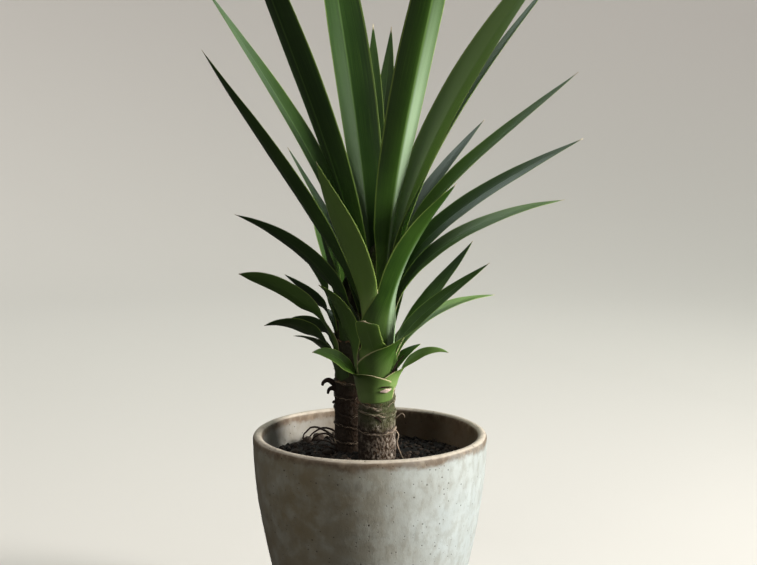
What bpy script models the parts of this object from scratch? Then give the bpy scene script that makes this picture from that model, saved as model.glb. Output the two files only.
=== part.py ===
"""Potted yucca: a glazed stoneware pot, its potting mix, two canes and each leaf as a solid of its own.

Lengths are millimetres and angles are degrees, until a mesh is written in Blender's metres.
The origin is the centre of the pot's foot. +Z is up, +X the plant's right and -Y its front.
A heading is a compass direction seen from above: 0 is +X, 90 is the back, 180 is the left, 270 is the front.
"""

import math
import random
from collections import namedtuple

import bmesh
import bpy
import numpy as np
from mathutils import Matrix, Vector

MM = 0.001
GAP = 0.3  # clearance between neighbouring solids

# Pot
POT_HEIGHT = 152.0
RIM_RADIUS = 85.0
FOOT_RADIUS = 56.0
FOOT_ROUND = 7.0
WALL_SWELL = 1.8  # how late the wall turns in towards the foot
WALL = 7.0
LIP_ROUND = 3.3
FLOOR = 9.0
FLOOR_ROUND = 12.0
POT_STEPS = 40

# Potting mix
SOIL_DEPTH = 23.0  # below the lip, at the wall
SOIL_TOP = POT_HEIGHT - SOIL_DEPTH
MOUND = 6.0  # extra height around the canes
MOUND_SPREAD = 38.0
SOIL_RELIEF = 0.9
SOIL_RINGS = 8
CLODS = 34
CLOD_SIZES = (2.2, 4.4)
CLOD_SEED = 11
CANE_ROOM = 3.0  # how far clods keep clear of the canes
ROOT_ROOM = 5.0  # and of the places where roots come down to the mix

# Canes
CANE_FOOT = 62.0  # how low the canes reach in the mix
CANE_SIDES = 18
SCAR_LIP = 0.8
SCAR_SLANT = 1.6
CROWN_RINGS = 7
ROOT_SIDES = 5

# Leaves
SHEATH = 34.0  # length over which a clasping base opens into the blade
SHEATH_SHARE = 0.42  # and at most this share of the leaf
BASE_THICK = 1.8
TIP_THICK = 0.9
EDGE_THICK = 0.7
NECK = 0.6  # blade width just above the sheath, as a share of the full width
WIDEST = 0.5  # how far along the blade it is widest
CHANNEL = 0.006  # how sharply an open blade is hollowed across, in turns of one radian per millimetre
BASE_HANDLE = 0.26  # lengths of the midrib curve's two handles, as shares of its chord
TIP_HANDLE = 0.42
ROWS = 10
BASE_CROWDING = 1.25  # rows crowd towards the base of a leaf
TIP_CROWDING = 1.6  # or towards its tip, where that is blunt
BLUNT = 3.0  # tapers above this are blunt

Stem = namedtuple("Stem", "x y cane_radius crown_base crown_radius crown_top tip_radius scars")
STEMS = {
    "front": Stem(5.0, -8.0, 13.6, 175.0, 12.8, 290.0, 2.0, (143.0, 156.5, 169.5)),
    "rear": Stem(-14.5, 21.0, 11.6, 194.0, 11.0, 264.0, 2.0, (143.0, 154.0, 165.0, 176.0, 186.0)),
}

# Wiry roots and dried leaf remnants that grow from the rear cane: the points of each, and its thickness at both ends.
Strand = namedtuple("Strand", "points start_radius end_radius")
STRANDS = (
    Strand(((-20, 22, 135), (-28, 28, 142), (-37, 34, 146), (-44, 38, 146), (-49, 41, 141), (-51, 43, 136)), 1.1, 0.7),
    Strand(((-19, 19, 137), (-26, 22, 142), (-34, 27, 144), (-40, 32, 141), (-44, 35, 136)), 1.0, 0.7),
    Strand(((-18, 26, 136), (-24, 36, 142), (-34, 45, 144), (-42, 49, 140), (-46, 51, 135.5)), 1.1, 0.7),
    Strand(((-22, 18, 183), (-28, 16, 187), (-33, 14, 189.5), (-36, 13, 189)), 2.6, 1.1),
    Strand(((-22, 17, 180), (-28, 14.5, 183), (-32, 13, 181.5), (-33.5, 12, 178.5)), 2.2, 1.0),
    Strand(((-21, 16, 170), (-27, 14, 172.5), (-29.5, 13, 174)), 1.8, 0.9),
)

# Each leaf: the height of its seat on the stem, the heading of its base, how far the tip swings from that heading,
# how far the tip reaches from the stem's axis and rises above the seat, how far the base and the tip lean from
# upright, the blade's full width, the half angle that the sheath clasps, the fold of each half at the midrib,
# the roll of the blade, and how suddenly it tapers. Front leaves 23, 24 and 27 and rear leaves 8 to 13 fill the back
# and the gaps between the stems, where they are mostly hidden from the front.
Leaf = namedtuple(
    "Leaf",
    "seat heading swing reach rise start end width clasp fold roll taper",
    defaults=(55, 12, 0, 1.9),
)
FRONT = {
    "leaf_front_01": Leaf(178, 220, -28, 47, 36, 18, 100, 11, clasp=70, fold=8, roll=-50, taper=3),
    "leaf_front_02": Leaf(182, 335, 8, 53, 33, 11, 112, 9, clasp=45, fold=10, roll=45),
    "leaf_front_03": Leaf(188, 58, -28, 37, 27, 22, 75, 10, clasp=30, roll=20),
    "leaf_front_04": Leaf(195, 292, 62, 80, 83, 8, 54, 16, clasp=80, fold=12, roll=35),
    "leaf_front_05": Leaf(211, 20, 2, 75, 78, 24, 38, 18, clasp=34, roll=10),
    "leaf_front_06": Leaf(202, 48, -13, 108, 42, 20, 92, 18, clasp=30, roll=5),
    "leaf_front_07": Leaf(196, 175, 23, 43, 67, 14, 57, 19, clasp=31, fold=8, roll=25),
    "leaf_front_stub": Leaf(212, 263, -13, 22, 26, 11, 12, 18, clasp=55, fold=2, taper=25),
    "leaf_front_08": Leaf(223, 300, 32, 62, 113, 6, 42, 26, clasp=46, fold=27, roll=-10),
    "leaf_front_09": Leaf(227, 178, 0, 101, 84, 18, 72, 19, clasp=40, fold=14, roll=45),
    "leaf_front_10": Leaf(238, 22, -14, 136, 82, 9, 82, 22, clasp=32, fold=10, roll=15),
    "leaf_front_11": Leaf(240, 244, -10, 69, 113, 10, 30, 23, clasp=38, fold=8),
    "leaf_front_12": Leaf(238, 144, -4, 86, 117, 20, 40, 20, clasp=32, roll=20),
    "leaf_front_13": Leaf(245, 31, -19, 152, 118, 7, 65, 21, clasp=29, roll=22),
    "leaf_front_14": Leaf(249, 192, 0, 122, 178, 25, 33, 21, clasp=38, fold=16, roll=25),
    "leaf_front_15": Leaf(252, 58, -8, 127, 121, 10, 57, 19, clasp=24, roll=-10),
    "leaf_front_16": Leaf(258, 343, 7, 140, 154, 5, 50, 23, clasp=30, fold=16, roll=24),
    "leaf_front_17": Leaf(261, 166, 0, 128, 212, 14, 36, 25, clasp=34, roll=-15, taper=1.5),
    "leaf_front_18": Leaf(266, 6, 4, 156, 266, 8, 40, 29, clasp=34, fold=18, roll=30),
    "leaf_front_19": Leaf(260, 46, -12, 172, 231, 15, 46, 20, clasp=26, fold=18, roll=-10),
    "leaf_front_20": Leaf(268, 207, 0, 130, 319, 13, 21, 28, clasp=34, fold=18, roll=20),
    "leaf_front_21": Leaf(276, 315, 0, 92, 320, 6, 15, 32, clasp=45, fold=26, roll=-20),
    "leaf_front_22": Leaf(276, 120, 0, 100, 316, 9, 19, 36, clasp=40, fold=20),
    "leaf_front_23": Leaf(217, 62, -4, 50, 80, 12, 32, 18, clasp=30),
    "leaf_front_24": Leaf(228, 97, -5, 78, 118, 18, 40, 17, clasp=25),
    "leaf_front_25": Leaf(260, 102, -10, 80, 185, 13, 26, 19, clasp=28),
    "leaf_front_26": Leaf(246, 110, -26, 105, 197, 17, 32, 20, clasp=24),
    "leaf_front_27": Leaf(194, 86, 2, 98, 52, 24, 72, 18, clasp=28),
}
REAR = {
    "leaf_rear_01": Leaf(196, 232, -17, 49, 28, 26, 86, 11, clasp=35, roll=15),
    "leaf_rear_02": Leaf(204, 188, 0, 63, 24, 22, 108, 16, clasp=32, roll=45),
    "leaf_rear_03": Leaf(208, 140, 18, 51, 19, 18, 102, 15, clasp=32, roll=55),
    "leaf_rear_04": Leaf(215, 190, -4, 81, 51, 20, 80, 15, clasp=34, roll=60, taper=4),
    "leaf_rear_05": Leaf(222, 148, 14, 51, 40, 18, 58, 14, clasp=30, roll=50),
    "leaf_rear_06": Leaf(231, 172, -22, 44, 48, 16, 48, 17, clasp=30, roll=50),
    "leaf_rear_07": Leaf(240, 205, -10, 23, 60, 9, 16, 20, clasp=33),
    "leaf_rear_08": Leaf(212, 90, 6, 80, 50, 20, 66, 18, clasp=32),
    "leaf_rear_09": Leaf(230, 108, 10, 70, 90, 14, 42, 19, clasp=28),
    "leaf_rear_10": Leaf(221, 58, 4, 46, 62, 16, 40, 17, clasp=30),
    "leaf_rear_11": Leaf(243, 76, 16, 32, 95, 8, 18, 17, clasp=30),
    "leaf_rear_12": Leaf(226, 256, -16, 23, 20, 12, 50, 13, clasp=32),
    "leaf_rear_13": Leaf(247, 154, 10, 26, 70, 6, 16, 15, clasp=28),
}


def smooth(x, low=0.0, high=1.0):
    """0 below low, 1 above high, and an eased step between them."""
    t = np.clip((x - low) / (high - low), 0.0, 1.0)
    return t * t * (3.0 - 2.0 * t)


def out_from(heading):
    """The level unit vector that points along a heading."""
    angle = math.radians(heading)
    return np.array((math.cos(angle), math.sin(angle), 0.0))


def crown_radius(stem, height):
    """Radius of a stem's green core, which rounds off to its growing tip."""
    share = (height - stem.crown_base) / (stem.crown_top - stem.crown_base)
    share = min(max(share, 0.0), 1.0)
    return stem.tip_radius + (stem.crown_radius - stem.tip_radius) * math.sqrt(1 - share * share)


def curve_point(ends, t):
    """Point and direction at t on the curve with these four control points."""
    p0, p1, p2, p3 = ends
    s = 1.0 - t
    point = s**3 * p0 + 3 * s * s * t * p1 + 3 * s * t * t * p2 + t**3 * p3
    along = 3 * s * s * (p1 - p0) + 6 * s * t * (p2 - p1) + 3 * t * t * (p3 - p2)
    return point, along / np.linalg.norm(along)


def midrib(leaf, stem, sides):
    """The four control points of a leaf's midrib, and the radius at which its sheath clasps the core."""
    half_side = math.radians(leaf.clasp) / sides
    clasp_radius = (crown_radius(stem, leaf.seat) + GAP) / math.cos(half_side) + BASE_THICK / 2
    axis = np.array((stem.x, stem.y, leaf.seat))
    base_out, tip_out = out_from(leaf.heading), out_from(leaf.heading + leaf.swing)
    up = np.array((0.0, 0.0, 1.0))
    start, end = math.radians(leaf.start), math.radians(leaf.end)
    foot = axis + base_out * clasp_radius
    tip = axis + tip_out * leaf.reach + up * leaf.rise
    chord = np.linalg.norm(tip - foot)
    rising = base_out * math.sin(start) + up * math.cos(start)
    arriving = tip_out * math.sin(end) + up * math.cos(end)
    return (foot, foot + rising * BASE_HANDLE * chord, tip - arriving * TIP_HANDLE * chord, tip), clasp_radius


def blade_width(leaf, t):
    """Width of the blade at t, without its sheath."""
    if t < WIDEST:
        return leaf.width * (NECK + (1 - NECK) * math.sin(math.pi / 2 * t / WIDEST))
    return leaf.width * (1 - ((t - WIDEST) / (1 - WIDEST)) ** leaf.taper)


def leaf_row(leaf, ends, clasp_radius, t, sides):
    """Points across the leaf's middle surface at t, and the thickness at each."""
    point, along = curve_point(ends, t)
    opened_by = min(SHEATH_SHARE, SHEATH / np.linalg.norm(ends[3] - ends[0]))
    opened = smooth(t, 0.0, opened_by)
    level = out_from(leaf.heading + leaf.swing * smooth(t, 0.0, 0.5) + 90)
    side = level - along * np.dot(level, along)
    side /= np.linalg.norm(side)
    face = np.cross(along, side)
    roll = math.radians(leaf.roll) * smooth(t, opened_by / 2, opened_by / 2 + 0.3)
    side, face = side * math.cos(roll) + face * math.sin(roll), face * math.cos(roll) - side * math.sin(roll)
    half = (1 - opened) * clasp_radius * math.radians(leaf.clasp) + opened * blade_width(leaf, t) / 2
    bend = (1 - opened) / clasp_radius + opened * CHANNEL
    fold = math.radians(leaf.fold) * opened * (1 - 0.5 * t)
    middle = BASE_THICK + (TIP_THICK - BASE_THICK) * smooth(t, 0.0, 0.7)
    points, thickness = [], []
    for i in range(sides + 1):
        across = 2.0 * i / sides - 1.0
        span = abs(across) * half
        sideways = math.sin(bend * span) / bend
        rise = (1 - math.cos(bend * span)) / bend
        tilted = sideways * math.cos(fold) - rise * math.sin(fold)
        rise = sideways * math.sin(fold) + rise * math.cos(fold)
        points.append(point + side * math.copysign(tilted, across) + face * rise)
        thickness.append(EDGE_THICK + (middle - EDGE_THICK) * (1 - across * across))
    return points, thickness


def leaf_surface(leaf, stem):
    """Rows of points on a leaf's middle surface from base to tip, the last of them one point, with thicknesses."""
    sides = 6 if leaf.clasp > 60 else 4
    ends, clasp_radius = midrib(leaf, stem, sides)
    steps = np.arange(ROWS) / ROWS
    places = 1 - (1 - steps) ** TIP_CROWDING if leaf.taper > BLUNT else steps**BASE_CROWDING
    made = [leaf_row(leaf, ends, clasp_radius, t, sides) for t in places]
    return made + [([ends[3]], [EDGE_THICK])]


def leaf_solid(leaf, stem):
    """The leaf as a closed body: two faces with the same triangles, and the edge between them."""
    rows = leaf_surface(leaf, stem)
    middle = np.array([point for points, _ in rows for point in points])
    thickness = np.array([value for _, values in rows for value in values])
    columns = len(rows[0][0])
    tip = len(middle) - 1
    triangles = []
    for i in range(len(rows) - 2):
        for j in range(columns - 1):
            a, b = i * columns + j, i * columns + j + 1
            c, d = a + columns, b + columns
            triangles += [(a, b, d), (a, d, c)] if j < columns // 2 else [(a, b, c), (b, d, c)]
    last = tip - columns
    triangles += [(last + j, last + j + 1, tip) for j in range(columns - 1)]
    normals = np.zeros_like(middle)
    for a, b, c in triangles:
        normals[[a, b, c]] += np.cross(middle[b] - middle[a], middle[c] - middle[a])
    normals /= np.linalg.norm(normals, axis=1)[:, None]
    shift = normals * thickness[:, None] / 2
    back = len(middle)
    rim = list(range(columns)) + [i * columns + columns - 1 for i in range(1, len(rows) - 1)]
    rim += [tip] + [i * columns for i in range(len(rows) - 2, 0, -1)]
    faces = list(triangles) + [(c + back, b + back, a + back) for a, b, c in triangles]
    for a, b in zip(rim, rim[1:] + rim[:1]):
        faces += [(b, a, a + back), (b, a + back, b + back)]
    return np.vstack((middle + shift, middle - shift)), faces


def ring_solid(rings):
    """Faces of a body made of stacked rings of equal length, between a first and a last point."""
    points = [rings[0]] + [point for ring in rings[1:-1] for point in ring] + [rings[-1]]
    steps = len(rings[1])
    count = len(rings) - 2
    faces = []
    for j in range(steps):
        k = (j + 1) % steps
        faces.append((0, 1 + k, 1 + j))
        for i in range(count - 1):
            low, high = 1 + i * steps, 1 + (i + 1) * steps
            faces += [(low + j, low + k, high + k), (low + j, high + k, high + j)]
        top = 1 + (count - 1) * steps
        faces.append((top + j, top + k, len(points) - 1))
    return points, faces


def turned(profile, steps):
    """Faces of a body turned from (radius, height) pairs that start and end on the axis, going anticlockwise."""
    rings = [(0.0, 0.0, profile[0][1])]
    for radius, height in profile[1:-1]:
        angles = [2 * math.pi * j / steps for j in range(steps)]
        rings.append([(radius * math.cos(a), radius * math.sin(a), height) for a in angles])
    rings.append((0.0, 0.0, profile[-1][1]))
    return ring_solid(rings)


def arc(centre, radius, start, end, steps):
    """Points of an arc in the (radius, height) plane."""
    angles = [math.radians(start + (end - start) * i / steps) for i in range(steps + 1)]
    return [(centre[0] + radius * math.cos(a), centre[1] + radius * math.sin(a)) for a in angles]


def outer_radius(height):
    return RIM_RADIUS - (RIM_RADIUS - FOOT_RADIUS) * (1 - height / POT_HEIGHT) ** WALL_SWELL


def outside_profile():
    """The pot's outside, from the middle of its foot to the start of its lip."""
    foot = arc((outer_radius(FOOT_ROUND) - FOOT_ROUND, FOOT_ROUND), FOOT_ROUND, -90, 0, 3)
    heights = np.linspace(FOOT_ROUND, POT_HEIGHT - LIP_ROUND, 9)[1:]
    return [(0.0, 0.0)] + foot + [(outer_radius(z), z) for z in heights]


def inside_profile(inset=0.0):
    """The pot's inside, from the start of its lip to the middle of its floor."""
    corner = FLOOR + FLOOR_ROUND
    wall = [(outer_radius(z) - WALL - inset, z) for z in np.linspace(POT_HEIGHT - LIP_ROUND, corner, 9)]
    floor = arc((wall[-1][0] - FLOOR_ROUND, corner + inset), FLOOR_ROUND, 0, -90, 3)
    return wall[:-1] + floor + [(0.0, FLOOR + inset)]


def lip_profile():
    """The rounded lip, from the outer wall over to the inner one."""
    height = POT_HEIGHT - LIP_ROUND
    outer = outer_radius(height)
    over = arc((outer - LIP_ROUND, height), LIP_ROUND, 0, 90, 3)[1:]
    return over + arc((outer - WALL + LIP_ROUND, height), LIP_ROUND, 90, 180, 3)[:-1]


def soil_height(x, y):
    """Height of the potting mix, which is heaped around the canes."""
    heap = max(math.exp(-((x - s.x) ** 2 + (y - s.y) ** 2) / (2 * MOUND_SPREAD**2)) for s in STEMS.values())
    ripple = math.sin(x / 7.3 + 0.8) * math.sin(y / 6.1 - 0.5) + 0.6 * math.sin((x + y) / 3.7) * math.sin((x - y) / 4.9)
    return SOIL_TOP + MOUND * heap + SOIL_RELIEF * ripple


def soil_body():
    """The filling of the pot, up to its uneven surface."""
    below = [(r, z) for r, z in reversed(inside_profile(GAP)) if z < SOIL_TOP - 6]
    edge = outer_radius(SOIL_TOP) - WALL - GAP
    angles = [2 * math.pi * j / POT_STEPS for j in range(POT_STEPS)]
    rings = [(0.0, 0.0, below[0][1])]
    rings += [[(r * math.cos(a), r * math.sin(a), z) for a in angles] for r, z in below[1:]]
    for i in range(SOIL_RINGS):
        radius = edge * (1 - i / SOIL_RINGS)
        level = [(radius * math.cos(a), radius * math.sin(a)) for a in angles]
        settled = 0.35 if i == 0 else 1.0
        rings.append([(x, y, SOIL_TOP + settled * (soil_height(x, y) - SOIL_TOP)) for x, y in level])
    rings.append((0.0, 0.0, soil_height(0.0, 0.0)))
    return ring_solid(rings)


def cane_body(stem):
    """A cane with its ring scars, and above it the green core that carries the leaves."""
    rings = [(stem.x, stem.y, CANE_FOOT)]
    angles = [2 * math.pi * j / CANE_SIDES for j in range(CANE_SIDES)]

    def add_ring(radius, height, slant=0.0, phase=0.0):
        rings.append([
            (stem.x + radius * math.cos(a), stem.y + radius * math.sin(a), height + slant * math.cos(a - phase))
            for a in angles
        ])

    add_ring(stem.cane_radius, CANE_FOOT)
    add_ring(stem.cane_radius, SOIL_TOP + MOUND + 3)
    for i, scar in enumerate(stem.scars):
        for rise, lip in ((-2.6, 0.0), (-0.5, SCAR_LIP), (0.9, -0.4 * SCAR_LIP)):
            add_ring(stem.cane_radius + lip, scar + rise, SCAR_SLANT, 1.9 * i)
    height = stem.crown_top - stem.crown_base
    for i in range(CROWN_RINGS):
        share = math.sin(math.pi / 2 * i / CROWN_RINGS)
        z = stem.crown_base + share * height
        add_ring(crown_radius(stem, z), z)
    add_ring(stem.tip_radius, stem.crown_top)
    rings.append((stem.x, stem.y, stem.crown_top))
    return ring_solid(rings)


def strand_body(strand):
    """A thin tapering strand that runs smoothly through its points."""
    given = [np.array(point, float) for point in strand.points]
    padded = [2 * given[0] - given[1]] + given + [2 * given[-1] - given[-2]]
    path = []
    for i in range(len(given) - 1):
        a, b, c, d = padded[i : i + 4]
        for t in (0.0, 0.5):
            bow, twist = 2 * a - 5 * b + 4 * c - d, 3 * b - 3 * c + d - a
            path.append(0.5 * (2 * b + (c - a) * t + bow * t**2 + twist * t**3))
    path.append(given[-1])
    rings = [tuple(path[0])]
    for i, point in enumerate(path):
        along = path[min(i + 1, len(path) - 1)] - path[max(i - 1, 0)]
        along /= np.linalg.norm(along)
        side = np.cross(along, (0.3, -1.0, 0.1))
        side /= np.linalg.norm(side)
        over = np.cross(along, side)
        radius = strand.start_radius + (strand.end_radius - strand.start_radius) * i / (len(path) - 1)
        turns = [2 * math.pi * j / ROOT_SIDES for j in range(ROOT_SIDES)]
        rings.append([tuple(point + radius * (side * math.cos(a) + over * math.sin(a))) for a in turns])
    rings.append(tuple(path[-1]))
    return ring_solid(rings)


def add_solid(name, body, material=None, collection=None):
    """Adds a named object whose mesh has these points, in millimetres, and faces."""
    points, faces = body
    mesh = bpy.data.meshes.new(name)
    mesh.from_pydata([Vector(point) * MM for point in points], [], faces)
    mesh.update()
    if material:
        mesh.materials.append(material)
    thing = bpy.data.objects.new(name, mesh)
    (collection or bpy.context.scene.collection).objects.link(thing)
    return thing


def apply_boolean(thing, operation, collection):
    """Joins the collection's objects to a thing, or cuts them from it, and removes them."""
    modifier = thing.modifiers.new(operation.title(), "BOOLEAN")
    modifier.operation = operation
    modifier.operand_type = "COLLECTION"
    modifier.collection = collection
    modifier.solver = "EXACT"
    bpy.context.view_layer.update()
    evaluated = thing.evaluated_get(bpy.context.evaluated_depsgraph_get())
    result = bpy.data.meshes.new_from_object(evaluated)
    thing.modifiers.clear()
    thing.data = result
    for helper in list(collection.objects):
        bpy.data.objects.remove(helper)
    bpy.data.collections.remove(collection)


def new_collection(name):
    collection = bpy.data.collections.new(name)
    bpy.context.scene.collection.children.link(collection)
    return collection


def make_material(name, colour, roughness):
    material = bpy.data.materials.new(name)
    material.use_nodes = True
    shader = material.node_tree.nodes["Principled BSDF"]
    shader.inputs["Base Color"].default_value = (*colour, 1.0)
    shader.inputs["Roughness"].default_value = roughness
    shader.inputs["Metallic"].default_value = 0.0
    return material


def add_pot():
    glaze = make_material("sage_glaze", (0.46, 0.49, 0.44), 0.35)
    pot = add_solid("pot", turned(outside_profile() + lip_profile() + inside_profile(), POT_STEPS), glaze)
    pot.data.shade_smooth()
    pot.data.set_sharp_from_angle(angle=math.radians(40))


def add_clods(collection):
    """Lumps of mix, half sunk, that keep clear of each other, the canes, the roots and the pot."""
    rng = random.Random(CLOD_SEED)
    reach = outer_radius(SOIL_TOP) - WALL - CLOD_SIZES[1] - 2
    taken = [(s.x, s.y, s.cane_radius + CANE_ROOM) for s in STEMS.values()]
    taken += [(x, y, ROOT_ROOM) for strand in STRANDS for x, y, z in strand.points if z < SOIL_TOP + MOUND]
    while len(collection.objects) < CLODS:
        radius = rng.uniform(*CLOD_SIZES)
        away, heading = reach * math.sqrt(rng.random()), rng.uniform(0, 360)
        x, y = away * math.cos(math.radians(heading)), away * math.sin(math.radians(heading))
        if any(math.hypot(x - a, y - b) < radius + c for a, b, c in taken):
            continue
        taken.append((x, y, radius + 0.6))
        clod = bmesh.new()
        bmesh.ops.create_icosphere(clod, subdivisions=1, radius=radius)
        squash = Matrix.Diagonal((1.0, rng.uniform(0.75, 1.0), rng.uniform(0.6, 0.85), 1.0))
        place = Matrix.Translation((x, y, soil_height(x, y) + 0.15 * radius))
        turn = Matrix.Rotation(rng.uniform(0, math.tau), 4, "Z") @ Matrix.Rotation(rng.uniform(0, 0.9), 4, "X")
        bmesh.ops.transform(clod, matrix=place @ turn @ squash, verts=clod.verts)
        points = [tuple(vertex.co) for vertex in clod.verts]
        faces = [tuple(vertex.index for vertex in face.verts) for face in clod.faces]
        clod.free()
        add_solid(f"clod_{len(collection.objects):02d}", (points, faces), collection=collection)


def add_potting_mix():
    mix = add_solid("potting_mix", soil_body(), make_material("dark_mix", (0.02, 0.014, 0.01), 0.95))
    clods = new_collection("clods")
    add_clods(clods)
    apply_boolean(mix, "UNION", clods)
    holes = new_collection("holes")
    for name, stem in STEMS.items():
        radius = stem.cane_radius + GAP / math.cos(math.pi / CANE_SIDES)
        bottom, top = CANE_FOOT - GAP, POT_HEIGHT
        body = turned([(0.0, bottom), (radius, bottom), (radius, top), (0.0, top)], CANE_SIDES)
        points = [(x + stem.x, y + stem.y, z) for x, y, z in body[0]]
        add_solid(f"hole_{name}", (points, body[1]), collection=holes)
    apply_boolean(mix, "DIFFERENCE", holes)


def add_canes():
    bark = make_material("cane_bark", (0.13, 0.09, 0.055), 0.85)
    add_solid("cane_front", cane_body(STEMS["front"]), bark)
    rear = add_solid("cane_rear", cane_body(STEMS["rear"]), bark)
    strands = new_collection("strands")
    for i, strand in enumerate(STRANDS):
        add_solid(f"strand_{i}", strand_body(strand), collection=strands)
    apply_boolean(rear, "UNION", strands)


def add_leaves():
    green = make_material("leaf_green", (0.035, 0.09, 0.02), 0.4)
    for stem, leaves in ((STEMS["front"], FRONT), (STEMS["rear"], REAR)):
        for name, leaf in leaves.items():
            add_solid(name, leaf_solid(leaf, stem), green)


def main():
    for thing in list(bpy.data.objects):
        bpy.data.objects.remove(thing)
    add_pot()
    add_potting_mix()
    add_canes()
    add_leaves()


if __name__ == "__main__":
    main()
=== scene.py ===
"""Potted yucca: leaves, canes, potting mix, roots and a glazed pot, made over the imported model.

Lengths in the tables are millimetres and angles are degrees.
Meshes are in metres, with +Z up and -Y to the front.
A heading is a direction seen from above: 0 is +X, 90 is the back, 180 is the left and 270 is the front.
"""

import math
import random
from collections import namedtuple

import bpy
import numpy as np
from bpy.props import FloatProperty, FloatVectorProperty, IntProperty, PointerProperty
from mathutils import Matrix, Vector, noise


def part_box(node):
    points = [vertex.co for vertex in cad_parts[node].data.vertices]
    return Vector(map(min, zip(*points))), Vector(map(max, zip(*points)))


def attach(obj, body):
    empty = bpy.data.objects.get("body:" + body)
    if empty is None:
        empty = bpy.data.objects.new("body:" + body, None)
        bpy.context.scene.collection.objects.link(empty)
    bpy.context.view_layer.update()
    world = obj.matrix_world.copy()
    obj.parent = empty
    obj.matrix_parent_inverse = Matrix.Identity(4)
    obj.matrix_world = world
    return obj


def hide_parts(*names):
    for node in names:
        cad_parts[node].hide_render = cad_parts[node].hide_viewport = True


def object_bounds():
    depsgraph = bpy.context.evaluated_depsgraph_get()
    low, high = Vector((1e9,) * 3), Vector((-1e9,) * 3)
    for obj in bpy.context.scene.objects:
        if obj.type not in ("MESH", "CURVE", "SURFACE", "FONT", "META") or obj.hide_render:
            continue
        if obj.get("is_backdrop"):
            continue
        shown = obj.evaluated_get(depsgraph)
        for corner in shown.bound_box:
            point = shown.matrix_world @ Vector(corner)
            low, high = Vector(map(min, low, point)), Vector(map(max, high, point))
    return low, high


bl_info = {
    "name": "Potted Yucca",
    "version": (1, 0, 0),
    "blender": (4, 5, 0),
    "location": "3D View > Sidebar > Yucca",
    "description": "Grows a two-caned yucca in a glazed stoneware pot",
    "category": "Object",
}

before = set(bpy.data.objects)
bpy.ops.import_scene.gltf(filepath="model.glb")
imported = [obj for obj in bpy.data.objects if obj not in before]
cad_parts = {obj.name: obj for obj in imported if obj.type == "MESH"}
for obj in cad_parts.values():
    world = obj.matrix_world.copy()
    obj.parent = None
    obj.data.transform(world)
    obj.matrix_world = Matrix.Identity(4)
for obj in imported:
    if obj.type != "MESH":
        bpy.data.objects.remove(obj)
CAD_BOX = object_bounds()
POT_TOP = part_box("pot")[1]
BODY = "root"
MM = 0.001

# Pot, beyond what its settings hold
FOOT_ROUND = 7.0
WALL_SWELL = 1.8  # how late the wall turns in towards the foot
LIP_ROUND = 3.3
FLOOR = 9.0
FLOOR_ROUND = 12.0
HAZE = (0.56, 0.6, 0.57)  # milky wisps in the glaze
RUNS = (0.17, 0.15, 0.1)  # darker runs down the wall
STONE = (0.22, 0.2, 0.15)  # the clay's grain, where it shows through
# The inside's brown is laid on more thickly towards the right as painted shade.
STAIN_AND_SHADE = (0.15, 0.1, 0.06)  # brown of the inside
RUST = (0.24, 0.18, 0.12)  # lighter parts of the iron band
SPECKS = (0.035, 0.022, 0.014)

# Potting mix
SOIL_TOP = 129.0
MOUND = 6.0  # extra height around the canes
MOUND_SPREAD = 38.0
SOIL_RELIEF = 0.9
CLODS = 44
CLOD_SIZES = (2.4, 5.2)
CLOD_SEED = 11
CLOD_GAP = 0.6  # least space between clods
CANE_ROOM = 3.0  # how far clods keep clear of the canes
ROOT_ROOM = 5.0  # and of the places where the thick roots come down to the mix
WALL_ROOM = 2.0  # and of the pot's wall
THICK_ROOTS = 3  # how many of the first roots are thick
MIX_STEPS = 150  # faces around the mix
MIX_RINGS = 64  # and from its edge to its middle
MIX_GAP = 1.0  # space between the mix and the pot's wall
BITS = (0.1, 0.06, 0.03)  # brown bits in the mix

# Canes
CANE_FOOT = 62.0
BARK_END = 5.0  # how far below the green core the barked cane starts to narrow
FINE_FROM = 124.0  # height above which a cane has fine rows of faces
FINE_PAST = 12.0  # how far above the base of its crown they end
FINE_ROW = 0.45
GREENING = 7.0  # how far above and below its greening height a cane changes colour
YOUNG_RINGS = (0.12, 0.12, 0.06)  # lighter rings on the green skin
# For each cane, the height at which it turns green, and how much of its pale, papery skin has stayed on;
# the less has stayed, the more the whole cane is darkened with painted shade.
BARKS = {"front": (161.0, 1.0), "rear": (184.0, 0.2)}

# Stage, in metres
Lamp = namedtuple("Lamp", "place aim size tint")
KEY = Lamp((2.38, -0.47, 0.97), (0, 0, 0.28), 1.1, (1.0, 0.985, 0.96))
KEY_SPREAD = 80  # degrees over which the main light fans out, so that it doesn't flood the backdrop
FILL = Lamp((-1.0, -1.8, 1.0), (0, 0, 0.3), 0.9, (1.0, 0.95, 0.86))
BACK_RIGHT = Lamp((1.0, 1.4, 1.75), (0, 0, 0.35), 1.0, (0.84, 1.0, 0.9))
BACK_LEFT = Lamp((-0.6, 1.5, 1.9), (0, 0, 0.35), 0.9, (0.84, 1.0, 0.94))
BACK_LEFT_SHARE = 0.7  # its power, as a share of the other back light's
BACKDROP_LIGHTS = 6
SKY_TINT = (1.0, 0.96, 0.9, 1.0)
CAMERA_PLACE = (0.0062, -1.1644, 0.4383)
CAMERA_DIP = 8.63  # degrees that it looks down
LENS, SENSOR = 78.2, 36.0

# Leaves
GAP = 0.3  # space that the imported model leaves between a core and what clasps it
HALF_BASE = 0.9  # half the thickness of a leaf at its base
STUB_SLANT = -0.0008  # how far, in metres, the cut end of the stub slants to each side
DUST = (0.5, 0.52, 0.48)
FACET = 0.15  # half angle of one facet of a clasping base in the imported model
SHEATH = 34.0  # length over which a clasping base opens into the blade
SHEATH_SHARE = 0.42  # and at most this share of the leaf
SHEATH_SINK = 1.7  # how far a sheath's lower end sinks into what it clasps
BASE_HANDLE = 0.26  # lengths of the midrib curve's two handles, as shares of its chord
TIP_HANDLE = 0.42

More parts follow.
